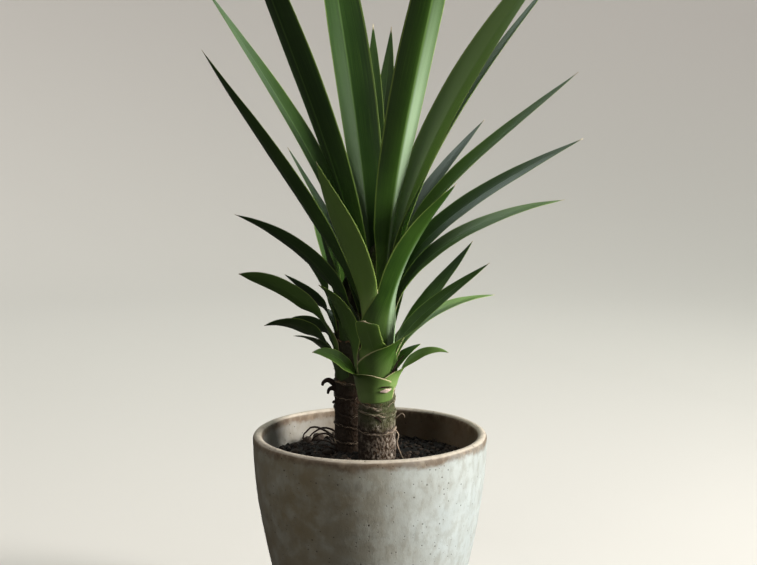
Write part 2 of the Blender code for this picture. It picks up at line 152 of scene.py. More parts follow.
Stem = namedtuple("Stem", "x y cane_radius crown_base crown_radius crown_top tip_radius scars")
STEMS = {
    "front": Stem(5.0, -8.0, 13.6, 175.0, 12.8, 290.0, 2.0, (157.0, 170.5, 178.0)),
    "rear": Stem(-14.5, 21.0, 11.6, 194.0, 11.0, 264.0, 2.0, (143.0, 154.0, 165.0, 176.0, 186.0)),
}
# How far each scar of the front cane dips, and towards which heading.
DIPS = ((4.0, 262), (3.0, 300), (8.0, 272))

# Each leaf: the height of its seat on the stem, the heading of its base, how far the tip swings from that
# heading, how far the tip reaches from the stem's axis and rises above the seat, how far the base and the tip
# lean from upright, the blade's full width, the half angle that the sheath clasps, the fold of each half at
# the midrib, the roll of the blade, how suddenly it tapers, how light its green is (its own green, with
# painted light and shade for a lit or shaded leaf), how pale its midrib is, and how much painted light
# lies on one half of its lower blade.
Leaf = namedtuple(
    "Leaf",
    "seat heading swing reach rise start end width clasp fold roll taper tone rib bloom",
    defaults=(12, 0, 1.9, 0.35, 0.2, 0.0),
)
# Old, broad sheaths that wrap the stem: how much higher than its seat a leaf opens, how far its sheath runs
# down from there, and the half angle that it wraps.
Sheath = namedtuple("Sheath", "lift run wrap")
SHEATHS = {
    "leaf_front_01": Sheath(8, 9, 118),
    "leaf_front_02": Sheath(8, 4, 62),
    "leaf_front_04": Sheath(1, 8, 112),
    "leaf_front_stub": Sheath(0, 9, 66),
    "leaf_front_08": Sheath(8, 17, 96),
    "leaf_front_11": Sheath(2, 12, 0),
    "leaf_front_21": Sheath(0, 20, 50),
}
PLAIN_SHEATH = Sheath(0, 9, 0)
FRONT_LEAVES = {
    "leaf_front_01": Leaf(178, 220, -28, 47, 36, 18, 100, 11, clasp=70, fold=8, roll=-50, taper=3, tone=0.62),
    "leaf_front_02": Leaf(182, 335, 8, 53, 33, 11, 112, 9, clasp=45, fold=10, roll=45, tone=0.85, bloom=0.5),
    "leaf_front_03": Leaf(188, 58, -28, 37, 27, 22, 75, 10, clasp=30, roll=20, tone=0.4),
    "leaf_front_04": Leaf(195, 292, 62, 80, 83, 8, 54, 16, clasp=80, fold=12, roll=35, tone=0.45),
    "leaf_front_05": Leaf(211, 20, 2, 75, 78, 24, 38, 18, clasp=34, roll=10, tone=0.7),
    "leaf_front_06": Leaf(202, 48, -13, 108, 42, 20, 92, 18, clasp=30, roll=5, tone=0.9),
    "leaf_front_07": Leaf(196, 175, 23, 43, 67, 14, 57, 19, clasp=31, fold=8, roll=25, tone=0.7),
    "leaf_front_stub": Leaf(212, 263, -13, 22, 26, 11, 12, 18, clasp=55, fold=2, taper=25, tone=0.75),
    "leaf_front_08": Leaf(
        223, 300, 32, 62, 113, 6, 42, 26, clasp=46, fold=27, roll=-10, tone=0.32, bloom=0.6
    ),
    "leaf_front_09": Leaf(227, 178, 0, 101, 84, 18, 72, 19, clasp=40, fold=14, roll=45, tone=0.15),
    "leaf_front_10": Leaf(238, 22, -14, 136, 82, 9, 82, 22, clasp=32, fold=10, roll=15, tone=0.75),
    "leaf_front_11": Leaf(240, 244, -10, 69, 113, 10, 30, 23, clasp=38, fold=8, tone=0.95),
    "leaf_front_12": Leaf(238, 144, -4, 86, 117, 20, 40, 20, clasp=32, roll=20, tone=0.2),
    "leaf_front_13": Leaf(245, 31, -19, 152, 118, 7, 65, 21, clasp=29, roll=22, tone=0.28),
    "leaf_front_14": Leaf(249, 192, 0, 122, 178, 25, 33, 21, clasp=38, fold=16, roll=25, tone=0.3),
    "leaf_front_15": Leaf(252, 58, -8, 127, 121, 10, 57, 19, clasp=24, roll=-10, tone=0.2),
    "leaf_front_16": Leaf(258, 343, 7, 140, 154, 5, 50, 23, clasp=30, fold=16, roll=24, rib=0.6, tone=0.65),
    "leaf_front_17": Leaf(261, 166, 0, 128, 212, 14, 36, 25, clasp=34, roll=-15, rib=0.4, taper=1.5),
    "leaf_front_18": Leaf(
        266, 6, 4, 156, 266, 8, 40, 29, clasp=34, fold=18, roll=30, tone=1.0, rib=0.6, bloom=0.6
    ),
    "leaf_front_19": Leaf(260, 46, -12, 172, 231, 15, 46, 20, clasp=26, fold=18, roll=-10, tone=0.65),
    "leaf_front_20": Leaf(268, 207, 0, 130, 319, 13, 21, 28, clasp=34, fold=18, roll=20, tone=0.08, rib=0.3),
    "leaf_front_21": Leaf(
        276, 315, 0, 92, 320, 6, 15, 32, clasp=45, fold=26, roll=-20, tone=0.4, rib=0.5, bloom=1.0
    ),
    "leaf_front_22": Leaf(
        276, 120, 0, 100, 316, 9, 19, 36, clasp=40, fold=20, tone=0.0, rib=0.28, bloom=0.22
    ),
    "leaf_front_23": Leaf(217, 62, -4, 50, 80, 12, 32, 18, clasp=30, tone=0.25),
    "leaf_front_24": Leaf(228, 97, -5, 78, 118, 18, 40, 17, clasp=25, tone=0.25),
    "leaf_front_25": Leaf(260, 102, -10, 80, 185, 13, 26, 19, clasp=28, tone=0.25),
    "leaf_front_26": Leaf(246, 110, -26, 105, 197, 17, 32, 20, clasp=24, tone=0.25),
    "leaf_front_27": Leaf(194, 86, 2, 98, 52, 24, 72, 18, clasp=28, tone=0.4),
}
REAR_LEAVES = {
    "leaf_rear_01": Leaf(196, 232, -17, 49, 28, 26, 86, 11, clasp=35, roll=15, tone=0.1),
    "leaf_rear_02": Leaf(204, 188, 0, 63, 24, 22, 108, 16, clasp=32, roll=45, tone=0.25),
    "leaf_rear_03": Leaf(208, 140, 18, 51, 19, 18, 102, 15, clasp=32, roll=55, tone=0.1),
    "leaf_rear_04": Leaf(215, 190, -4, 81, 51, 20, 80, 15, clasp=34, roll=60, taper=4, tone=0.7),
    "leaf_rear_05": Leaf(222, 148, 14, 51, 40, 18, 58, 14, clasp=30, roll=50, tone=0.1),
    "leaf_rear_06": Leaf(231, 172, -22, 44, 48, 16, 48, 17, clasp=30, roll=50, tone=0.25),
    "leaf_rear_07": Leaf(240, 205, -10, 23, 60, 9, 16, 20, clasp=33, tone=0.25),
    "leaf_rear_08": Leaf(212, 90, 6, 80, 50, 20, 66, 18, clasp=32),
    "leaf_rear_09": Leaf(230, 108, 10, 70, 90, 14, 42, 19, clasp=28),
    "leaf_rear_10": Leaf(221, 58, 4, 46, 62, 16, 40, 17, clasp=30),
    "leaf_rear_11": Leaf(243, 76, 16, 32, 95, 8, 18, 17, clasp=30),
    "leaf_rear_12": Leaf(226, 256, -16, 23, 20, 12, 50, 13, clasp=32, tone=0.2),
    "leaf_rear_13": Leaf(247, 154, 10, 26, 70, 6, 16, 15, clasp=28),
}
LEAVES = {"front": FRONT_LEAVES, "rear": REAR_LEAVES}

LOOSE_FACING = (0.0, -1.0, 0.2)  # the way that roots and fibres face
FLAP_FACING = (0.2, -1.0, 0.4)
MARK_FACING = (0.3, -1.0, 0.0)
CURVE_STEPS = 6  # short straight pieces between two points of a root, flap, mark or gap
ROOT_STRAY = 0.35  # how far a root strays from its smooth line
STRAY_LENGTH = 3.0  # and over what length it wavers

# Wiry roots that arch from the rear cane: points and end radii.
ROOTS = (
    (
        ((-20, 22, 135), (-28, 28, 142), (-37, 34, 146), (-44, 38, 146), (-49, 41, 141), (-51, 43, 136)),
        1.0,
        0.5,
    ),
    (((-19, 19, 137), (-26, 22, 142), (-34, 27, 144), (-40, 32, 141), (-44, 35, 136)), 0.9, 0.5),
    (((-18, 26, 136), (-24, 36, 142), (-34, 45, 144), (-42, 49, 140), (-46, 51, 135.5)), 1.0, 0.5),
    (((-21, 16, 134), (-27, 15, 139), (-33, 18, 141), (-38, 23, 139), (-41, 27, 134)), 0.6, 0.3),
    (((-22, 14, 133), (-30, 10, 138), (-37, 13, 139), (-43, 20, 137), (-47, 28, 133)), 0.45, 0.25),
    (((-23, 23, 134), (-32, 25, 139), (-41, 26, 139), (-48, 30, 135)), 0.4, 0.25),
)
# Dried leaf remnants on the rear cane: points, and half widths at both ends.
FLAPS = (
    (((-24, 18, 182), (-28, 16.5, 185.5), (-31, 15.5, 187), (-34, 15, 185.5), (-35, 14.5, 183)), 2.7, 0.9),
    (((-24, 17, 179.5), (-27.5, 15.5, 181), (-30, 14.5, 180), (-31, 14, 177)), 2.4, 0.8),
    (((-23, 16, 170), (-26, 15, 171), (-27.5, 14.5, 170)), 1.5, 0.7),
)

# Healed scars on the front of the front cane: points, and half widths at both ends.
MARKS = (
    (((11.6, -22.3, 187.2), (9.6, -23.0, 186.9), (7.4, -23.5, 186.9)), 1.7, 0.4),
    (((11.6, -22.3, 187.2), (13.6, -21.3, 187.6), (15.4, -19.9, 188.2)), 1.7, 0.4),
)
# Dark gaps where a sheath or a strip of bark has come away: points, and half widths at both ends.
GAPS = (
    (((8.0, -23.6, 189.6), (12.0, -22.4, 190.0), (16.3, -19.4, 189.4)), 0.7, 0.2),
    (((4.0, -21.9, 168.5), (6.5, -21.9, 166.5), (8.5, -21.6, 163.5)), 1.3, 0.3),
    (((14.6, -20.4, 195.0), (16.6, -20.0, 201.0), (19.6, -19.0, 207.0), (24.3, -18.0, 212.0)), 1.0, 0.4),
)
# Paler rootlets beside the front cane: points and end radii.
ROOTLETS = (
    (((16, -13, 163), (20, -14.5, 167), (22.5, -15, 169), (24.5, -15, 168), (25, -15, 166)), 0.45, 0.25),
    (((17.5, -12, 157), (20.5, -13, 153), (19.5, -13.5, 147), (21.5, -13, 141), (24, -12, 135)), 0.55, 0.3),
)


def colour(name, description, default):
    shown = {"size": 3, "subtype": "COLOR", "min": 0, "max": 1}
    return FloatVectorProperty(name=name, description=description, default=default, **shown)


def number(name, description, default, **shown):
    return FloatProperty(name=name, description=description, default=default, min=0, **shown)


def length(name, description, default):
    return number(name, description, default, unit="LENGTH", precision=4)


def watts(name, description, default):
    return number(name, description, default, unit="POWER")


def whole_number(name, description, default, least=0):
    return IntProperty(name=name, description=description, default=default, min=least)


class PotSettings(bpy.types.PropertyGroup):
    """Shape and glaze of the pot."""

    height: length("Height", "Height of the lip above the foot", POT_TOP.z)
    rim_radius: length("Rim radius", "Outer radius at the lip", POT_TOP.x)
    foot_radius: length("Foot radius", "Outer radius that the wall runs down to", 0.056)
    wall: length("Wall", "Thickness of the wall", 0.007)
    unevenness: length("Unevenness", "How far the thrown wall strays from true", 0.0004)
    steps: whole_number("Steps", "Faces around the pot", 192, 24)
    glaze: colour("Glaze", "Pale body of the glaze", (0.43, 0.47, 0.455))
    # The pooled glaze colour also paints the shade down the pot's left side.
    pool: colour("Pooled glaze", "Warmer grey where the glaze runs thin", (0.26, 0.215, 0.135))
    iron: colour("Iron", "Iron brown of the band and the specks", (0.12, 0.075, 0.042))
    lip: colour("Lip", "Bare, pale lip", (0.5, 0.44, 0.36))


class MixSettings(bpy.types.PropertyGroup):
    """Surface of the potting mix and its crumbs."""

    crumb_density: number("Crumb density", "Crumbs per square metre", 90000)
    crumb_small: length("Smallest crumb", "Radius of the smallest crumbs", 0.0005)
    crumb_large: length("Largest crumb", "Radius of the largest crumbs", 0.0022)
    seed: whole_number("Seed", "Which scatter of crumbs is used", 5)
    dark: colour("Wet mix", "Darkest part of the mix", (0.006, 0.004, 0.003))
    light: colour("Dry mix", "Lightest crumbs", (0.075, 0.055, 0.042))


class CaneSettings(bpy.types.PropertyGroup):
    """Bark of the canes."""

    lip: length("Scar lip", "How far a ring scar stands out", 0.0008)
    relief: length("Bark relief", "Depth of the cracks in the bark", 0.00028)
    around: whole_number("Around", "Faces around a cane", 120, 12)
    bark: colour("Bark", "Brown bark", (0.06, 0.037, 0.021))
    # Besides the cracks, this colour paints shade: in the groove above each ring scar, down each cane's left
    # side and over the rear cane.
    crack: colour("Cracks", "Dark cracks between the fibres", (0.018, 0.011, 0.007))
    scurf: colour("Scurf", "Pale grey flecks on the bark", (0.62, 0.54, 0.45))
    dry: colour("Dry skin", "Pale, papery skin at the ring scars", (0.46, 0.36, 0.28))
    green: colour("Green skin", "Skin of the young cane", (0.046, 0.058, 0.02))


class LeafSettings(bpy.types.PropertyGroup):
    """Shape and greens of the leaves."""

    rows: whole_number("Rows", "Faces along a leaf", 88, 8)
    around: whole_number("Around", "Faces around a leaf", 36, 8)
    crease: length("Crease", "Radius of the fold along the midrib", 0.0016)
    ruffle: length("Ruffle", "How far the margins wave", 0.0007)
    base_thickness: length("Base thickness", "Thickness of a leaf at its base", 0.0018)
    tip_thickness: length("Tip thickness", "Thickness of a leaf towards its tip", 0.0009)
    dark: colour("Dark green", "Green of the oldest and shaded leaves", (0.013, 0.038, 0.004))
    light: colour("Light green", "Green of the lightest leaves", (0.054, 0.118, 0.014))
    sheath: colour("Sheath", "Pale green of the clasping bases", (0.22, 0.32, 0.1))
    fresh: colour("Fresh green", "Green of the youngest and palest leaves", (0.19, 0.33, 0.07))
    # Painted light: the pale green laid on one half of a lit lower blade.
    bloom: colour("Bloom", "Pale, chalky green of the bloom on a lower blade", (0.42, 0.56, 0.36))
    midrib: colour("Midrib", "Pale line along the middle", (0.16, 0.27, 0.08))
    margin: colour("Margin", "Thin, yellowish margin", (0.32, 0.44, 0.1))
    dry: colour("Dry edge", "Papery beige of dry edges and tips", (0.5, 0.41, 0.27))
    nick: colour("Nicks", "Brown nicks on the clasping bases", (0.1, 0.06, 0.025))


class FibreSettings(bpy.types.PropertyGroup):
    """Roots, bark fibres and dry scraps."""

    per_scar: whole_number("Fibres per scar", "Fine fibres at each ring scar", 18)
    scraps: whole_number("Scraps per seat", "Dry scraps where a leaf is seated", 5)
    seed: whole_number("Seed", "Which scatter is used", 3)
    root: colour("Root", "Dark, wiry roots", (0.022, 0.013, 0.009))
    mark: colour("Healed scar", "Pinkish scar where a leaf came off", (0.5, 0.38, 0.32))
    fibre: colour("Fibre", "Pale bark fibres", (0.3, 0.235, 0.17))
    scrap: colour("Scrap", "Dry, papery scraps", (0.17, 0.11, 0.06))


class StageSettings(bpy.types.PropertyGroup):
    """Floor, lights and camera."""

    floor: colour("Floor", "Plain floor and backdrop", (0.66, 0.63, 0.59))
    key: watts("Key light", "Power of the main light", 34)
    gloss: number("Key gloss", "Share of the key light that glossy surfaces show", 0.18)
    fill: watts("Fill light", "Power of the soft light from the left", 6)
    back: watts("Back light", "Power of the light that skims the leaves from behind", 9)
    glow: watts("Backdrop light", "Power of each light on the backdrop", 27)
    sky: number("Surroundings", "Strength of the light from all round", 0.055)


class Wire:
    """What a node gives out. Adding or multiplying wires places the node that does it."""

    def __init__(self, sheet, socket):
        self.sheet = sheet
        self.socket = socket


def wire_rule(operation, turned):
    def rule(self, other):
        return self.sheet.maths(operation, *((other, self) if turned else (self, other)))

    return rule


SIGNS = {"add": "ADD", "sub": "SUBTRACT", "mul": "MULTIPLY", "truediv": "DIVIDE", "pow": "POWER"}
for sign, operation in SIGNS.items():
    setattr(Wire, f"__{sign}__", wire_rule(operation, turned=False))
    setattr(Wire, f"__r{sign}__", wire_rule(operation, turned=True))

SOCKETS = {
    "value": "NodeSocketFloat",
    "count": "NodeSocketInt",
    "vector": "NodeSocketVector",
    "colour": "NodeSocketColor",
    "shape": "NodeSocketGeometry",
    "material": "NodeSocketMaterial",
}


class Sheet:
    """A node tree that is being filled."""

    def __init__(self, tree, given=(), made=()):
        self.tree = tree
        self.placed = 0
        for name, kind, default in given:
            socket = tree.interface.new_socket(name, in_out="INPUT", socket_type=SOCKETS[kind])
            if default is not None:
                socket.default_value = default
        for name, kind in made:
            tree.interface.new_socket(name, in_out="OUTPUT", socket_type=SOCKETS[kind])
        self.source = self.add("NodeGroupInput") if given else None
        self.result = self.add("NodeGroupOutput") if made else None

    def __getitem__(self, name):
        return Wire(self, self.source.outputs[name])

    def add(self, kind, inputs=(), **settings):
        """Places a node, sets it up, and feeds its inputs with wires or plain values."""
        node = self.tree.nodes.new(kind)
        node.location = (200 * (self.placed % 16), -260 * (self.placed // 16))
        self.placed += 1
        for name, value in settings.items():
            setattr(node, name, value)
        for key, value in dict(inputs).items():
            self.feed(node.inputs[key], value)
        return node

    def feed(self, socket, value):
        if isinstance(value, Wire):
            self.tree.links.new(value.socket, socket)
        elif socket.type == "RGBA" and len(value) == 3:
            socket.default_value = (*value, 1.0)
        else:
            socket.default_value = value

    def out(self, node, output=0):
        return Wire(self, node.outputs[output])

    def maths(self, operation, *terms):
        """A Math node, or a Vector Math node where a term is a vector."""
        vectors = [hasattr(t, "__len__") or isinstance(t, Wire) and t.socket.type == "VECTOR" for t in terms]
        if not any(vectors):
            return self.out(self.add("ShaderNodeMath", enumerate(terms), operation=operation))
        if operation == "MULTIPLY" and not all(vectors):
            vector, factor = terms if vectors[0] else terms[::-1]
            return self.out(self.add("ShaderNodeVectorMath", {0: vector, "Scale": factor}, operation="SCALE"))
        node = self.add("ShaderNodeVectorMath", enumerate(terms), operation=operation)
        return self.out(node, "Value" if operation in ("DOT_PRODUCT", "LENGTH") else "Vector")

    def smooth(self, value, low, high):
        """0 at low, 1 at high, and an eased step between them."""
        inputs = {"Value": value, "From Min": low, "From Max": high}
        return self.out(self.add("ShaderNodeMapRange", inputs, interpolation_type="SMOOTHSTEP"))

    def mix(self, share, a, b):
        """a where share is 0 and b where it is 1. Both are numbers or both are colours."""
        colours = [hasattr(x, "__len__") or isinstance(x, Wire) and x.socket.type == "RGBA" for x in (a, b)]
        first, kind, output = (6, "RGBA", 2) if any(colours) else (2, "FLOAT", 0)
        return self.out(self.add("ShaderNodeMix", {0: share, first: a, first + 1: b}, data_type=kind), output)

    def noise(self, at, scale, detail=2.0, roughness=0.5):
        values = {"Vector": at, "Scale": scale, "Detail": detail, "Roughness": roughness}
        return self.out(self.add("ShaderNodeTexNoise", values), "Fac")

    def vector(self, x, y, z):
        return self.out(self.add("ShaderNodeCombineXYZ", {"X": x, "Y": y, "Z": z}))

    def parts(self, vector):
        node = self.add("ShaderNodeSeparateXYZ", {"Vector": vector})
        return [self.out(node, axis) for axis in "XYZ"]

    def mask(self, group, at, **inputs):
        """The mask that one of the shared shader node groups draws at a place."""
        node = self.add("ShaderNodeGroup", node_tree=bpy.data.node_groups[group])
        for name, value in (("Vector", at), *inputs.items()):
            self.feed(node.inputs[name], value)
        return self.out(node)

    def finish(self, **outputs):
        for name, value in outputs.items():
            self.feed(self.result.inputs[name], value)
        return self.tree


def cloud_group():
    """Soft patches, with the share of the surface that they cover."""
    given = [("Vector", "vector", None), ("Scale", "value", 20.0), ("Cover", "value", 0.5)]
    given += [("Softness", "value", 0.2), ("Detail", "value", 4.0)]
    sheet = Sheet(bpy.data.node_groups.new("Clouds", "ShaderNodeTree"), given, [("Mask", "value")])
    level = sheet.noise(sheet["Vector"], sheet["Scale"], detail=sheet["Detail"], roughness=0.6)
    edge = 1.0 - sheet["Cover"]
    return sheet.finish(Mask=sheet.smooth(level, edge - sheet["Softness"], edge + sheet["Softness"]))


def streak_group():
    """Fine streaks, drawn out along one axis by the stretch of each axis."""
    given = [("Vector", "vector", None), ("Stretch", "vector", (1.0, 1.0, 0.1)), ("Scale", "value", 800.0)]
    sheet = Sheet(bpy.data.node_groups.new("Streaks", "ShaderNodeTree"), given, [("Mask", "value")])
    level = sheet.noise(sheet["Vector"] * sheet["Stretch"], sheet["Scale"], detail=3.0, roughness=0.65)
    return sheet.finish(Mask=sheet.smooth(level, 0.3, 0.7))


def speck_group():
    """Small spots: some cells of a pattern hold one, of uneven size."""
    given = [("Vector", "vector", None), ("Scale", "value", 300.0)]
    given += [("Share", "value", 0.3), ("Size", "value", 0.25)]
    sheet = Sheet(bpy.data.node_groups.new("Specks", "ShaderNodeTree"), given, [("Mask", "value")])
    warp = sheet.noise(sheet["Vector"], sheet["Scale"] * 3.0, detail=1.0) * 0.35
    cells = sheet.add("ShaderNodeTexVoronoi", {"Vector": sheet["Vector"], "Scale": sheet["Scale"]})
    chance = sheet.add("ShaderNodeSeparateColor", {"Color": sheet.out(cells, "Color")})
    size = sheet.smooth(sheet.out(chance, "Red"), 1.0 - sheet["Share"], 1.05) * sheet["Size"] + 0.0001
    away = sheet.out(cells, "Distance") + (warp - 0.17) * sheet["Size"]
    return sheet.finish(Mask=1.0 - sheet.smooth(away, size * 0.6, size))


def new_finish(name, tint, **plain):
    """A material with its shader, set up with the values that are the same all over it."""
    material = bpy.data.materials.new(name)
    material.use_nodes = True
    material.diffuse_color = (*tint, 1.0)
    sheet = Sheet(material.node_tree)
    sheet.shader = material.node_tree.nodes["Principled BSDF"]
    for key, value in plain.items():
        sheet.feed(sheet.shader.inputs[key.replace("_", " ")], value)
    sheet.place = sheet.out(sheet.add("ShaderNodeTexCoord"), "Object")
    return material, sheet


def read(sheet, name):
    """An attribute of the surface, in a material."""
    return sheet.out(sheet.add("ShaderNodeAttribute", attribute_name=name), "Fac")


def paint(sheet, base, roughness, height, strength, distance):
    """Feeds a material's colour, roughness and relief."""
    bump = sheet.add("ShaderNodeBump", {"Height": height, "Strength": strength, "Distance": distance})
    sheet.feed(sheet.shader.inputs["Base Color"], base)
    sheet.feed(sheet.shader.inputs["Roughness"], roughness)
    sheet.feed(sheet.shader.inputs["Normal"], sheet.out(bump))


def glaze_finish(look):
    """Pale, speckled glaze over stoneware, with an iron band under a bare lip and a brown inside."""
    material, sheet = new_finish("stoneware_glaze", look.glaze, Coat_Weight=0.12, Coat_Roughness=0.3)
    at, inside = sheet.place, read(sheet, "inside")
    x, y, z = sheet.parts(at)
    patches = sheet.mask("Clouds", at, Scale=16.0, Cover=0.5, Softness=0.22)
    wisps = sheet.mask("Clouds", at, Scale=70.0, Cover=0.45, Softness=0.18, Detail=6.0)
    stone = sheet.mask("Clouds", at * (1.0, 1.0, 0.6), Scale=210.0, Cover=0.45, Softness=0.13, Detail=6.0)
    runs = sheet.mask("Streaks", at, Stretch=(1.0, 1.0, 0.35), Scale=140.0)
    grain = sheet.noise(at, 900.0, detail=3.0)
    # Painted shade: the outside turns to the pooled glaze colour towards the left, the side turned away from
    # the light.
    shade_side = sheet.smooth(x + y * 0.4, 0.03, -0.08) * (1.0 - inside)
    base = sheet.mix(patches * 0.24 + shade_side * 0.8, look.glaze, look.pool)
    base = sheet.mix(wisps * 0.35, base, HAZE)
    base = sheet.mix(runs * patches * 0.2, base, RUNS)
    base = sheet.mix(stone * 0.34, base, STONE)
    # Painted shade: the inside takes more of its brown towards the right, where its wall is turned from the
    # light.
    inside_shade = sheet.smooth(x, -0.07, 0.02) * 0.45 + 0.45
    base = sheet.mix(inside * (inside_shade + 0.1 * wisps), base, STAIN_AND_SHADE)
    wander = (sheet.noise(at, 55.0, detail=4.0) - 0.5) * 0.014 + (sheet.noise(at, 380.0) - 0.5) * 0.004
    band = sheet.smooth(z + wander, look.height - 0.0085, look.height - 0.0035)
    rust = sheet.mask("Clouds", at, Scale=45.0, Cover=0.62, Softness=0.2)
    base = sheet.mix(band * (0.4 + 0.45 * rust), base, sheet.mix(stone, look.iron, RUST))
    crest = sheet.smooth(z + wander * 0.1, look.height - 0.0019, look.height - 0.0008)
    worn = sheet.mask("Clouds", at, Scale=240.0, Cover=0.4, Softness=0.2)
    base = sheet.mix(crest * (0.95 - 0.45 * worn), base, look.lip)
    fine = sheet.mask("Specks", at, Scale=330.0, Share=0.65, Size=0.26)
    bold = sheet.mask("Specks", at, Scale=120.0, Share=0.3, Size=0.14)
    specks = sheet.maths("MAXIMUM", fine * 0.75, bold)
    base = sheet.mix(specks * 0.85, base, SPECKS)
    roughness = 0.42 + 0.16 * wisps + crest * 0.25 + grain * 0.1
    height = wisps * 0.4 + stone * 0.35 + grain * 0.25 - specks * 0.8 + runs * 0.2 - crest * worn * 0.5
    paint(sheet, base, roughness, height, 0.4, 0.0004)
    return material


def leaf_finish(look):
    """Waxy green of the blades, paler on the sheaths, with dry edges and tips."""
    material, sheet = new_finish("leaf_blade", look.dark, Specular_IOR_Level=0.5)
    at, along, across, top = sheet.place, *(read(sheet, n) for n in ("along", "across", "top"))
    tone, sheath = read(sheet, "tone"), read(sheet, "sheath")
    span = sheet.maths("ABSOLUTE", across)
    veins = sheet.noise(sheet.vector(across * 16.0, along * 2.4, tone * 40.0), 1.0, detail=3.0, roughness=0.6)
    fine = sheet.noise(sheet.vector(across * 60.0, along * 7.0, tone * 90.0), 1.0, detail=2.0)
    patches = sheet.noise(at, 38.0, detail=3.0)
    # Painted light and shade: the tone is partly the leaf's own green, and partly lighter for a lit leaf and
    # darker for a shaded one.
    lightness = sheet.smooth(tone + (patches - 0.5) * 0.5 + (veins - 0.5) * 0.35, 0.0, 1.0)
    base = sheet.mix(lightness, look.dark, look.light)
    base = sheet.mix(sheet.smooth(fine, 0.45, 0.75) * 0.5, base, look.light)
    base = sheet.mix(sheet.smooth(tone, 0.6, 1.0) * 0.75, base, look.fresh)
    # Painted light: one half of the lower blade turns pale, as where light falls on it.
    half = sheet.smooth(across, -0.02, 0.12) * (1.0 - 0.5 * sheet.smooth(across, 0.4, 0.9))
    half = half * (0.65 + 0.35 * veins) * (1.0 - sheet.smooth(along, 0.15, 0.8))
    base = sheet.mix(half * read(sheet, "bloom"), base, look.bloom)
    rib = (1.0 - sheet.smooth(span, 0.012, 0.075)) * (1.0 - sheath)
    base = sheet.mix(rib * read(sheet, "ribbed") * (1.0 - sheet.smooth(along, 0.6, 1.0)), base, look.midrib)
    low = sheet.smooth(sheath + (veins - 0.5) * 0.2, 0.1, 1.0)
    base = sheet.mix(low * (0.06 + 0.85 * tone * tone), base, look.sheath)
    rim = sheet.smooth(span, 0.905, 0.95)
    base = sheet.mix(rim * (0.25 + 0.6 * tone), base, look.margin)
    ragged = (sheet.noise(at, 420.0, detail=4.0, roughness=0.7) - 0.5) * 0.9
    dry = sheet.smooth(span + ragged * 0.05, 0.925, 0.965) * sheet.smooth(sheath, 0.15, 0.5)
    dry = dry * sheet.smooth(tone, 0.3, 0.5)
    dry = sheet.maths("MAXIMUM", dry, sheet.smooth(along + ragged * 0.015, 0.975, 0.992))
    flecks = sheet.mask("Specks", at, Scale=170.0, Share=0.12, Size=0.11)
    dry = sheet.maths("MAXIMUM", dry * 0.9, flecks * sheath * 0.8)
    base = sheet.mix(dry, base, look.dry)
    nicks = sheet.mask("Specks", at * (1.0, 1.0, 0.6), Scale=260.0, Share=0.3, Size=0.2)
    base = sheet.mix(nicks * sheet.smooth(sheath, 0.5, 1.0) * 0.75, base, look.nick)
    dust = sheet.mask("Specks", at, Scale=420.0, Share=0.05, Size=0.1)
    base = sheet.mix(dust * 0.35, base, DUST)
    roughness = 0.33 + 0.12 * veins + 0.1 * patches + dry * 0.3 + low * 0.08 - top * 0.03
    height = veins * 0.7 + fine * 0.3 - rib * 0.8 * top + dry * 0.5
    paint(sheet, base, roughness, height, 0.4, 0.0004)
    return material


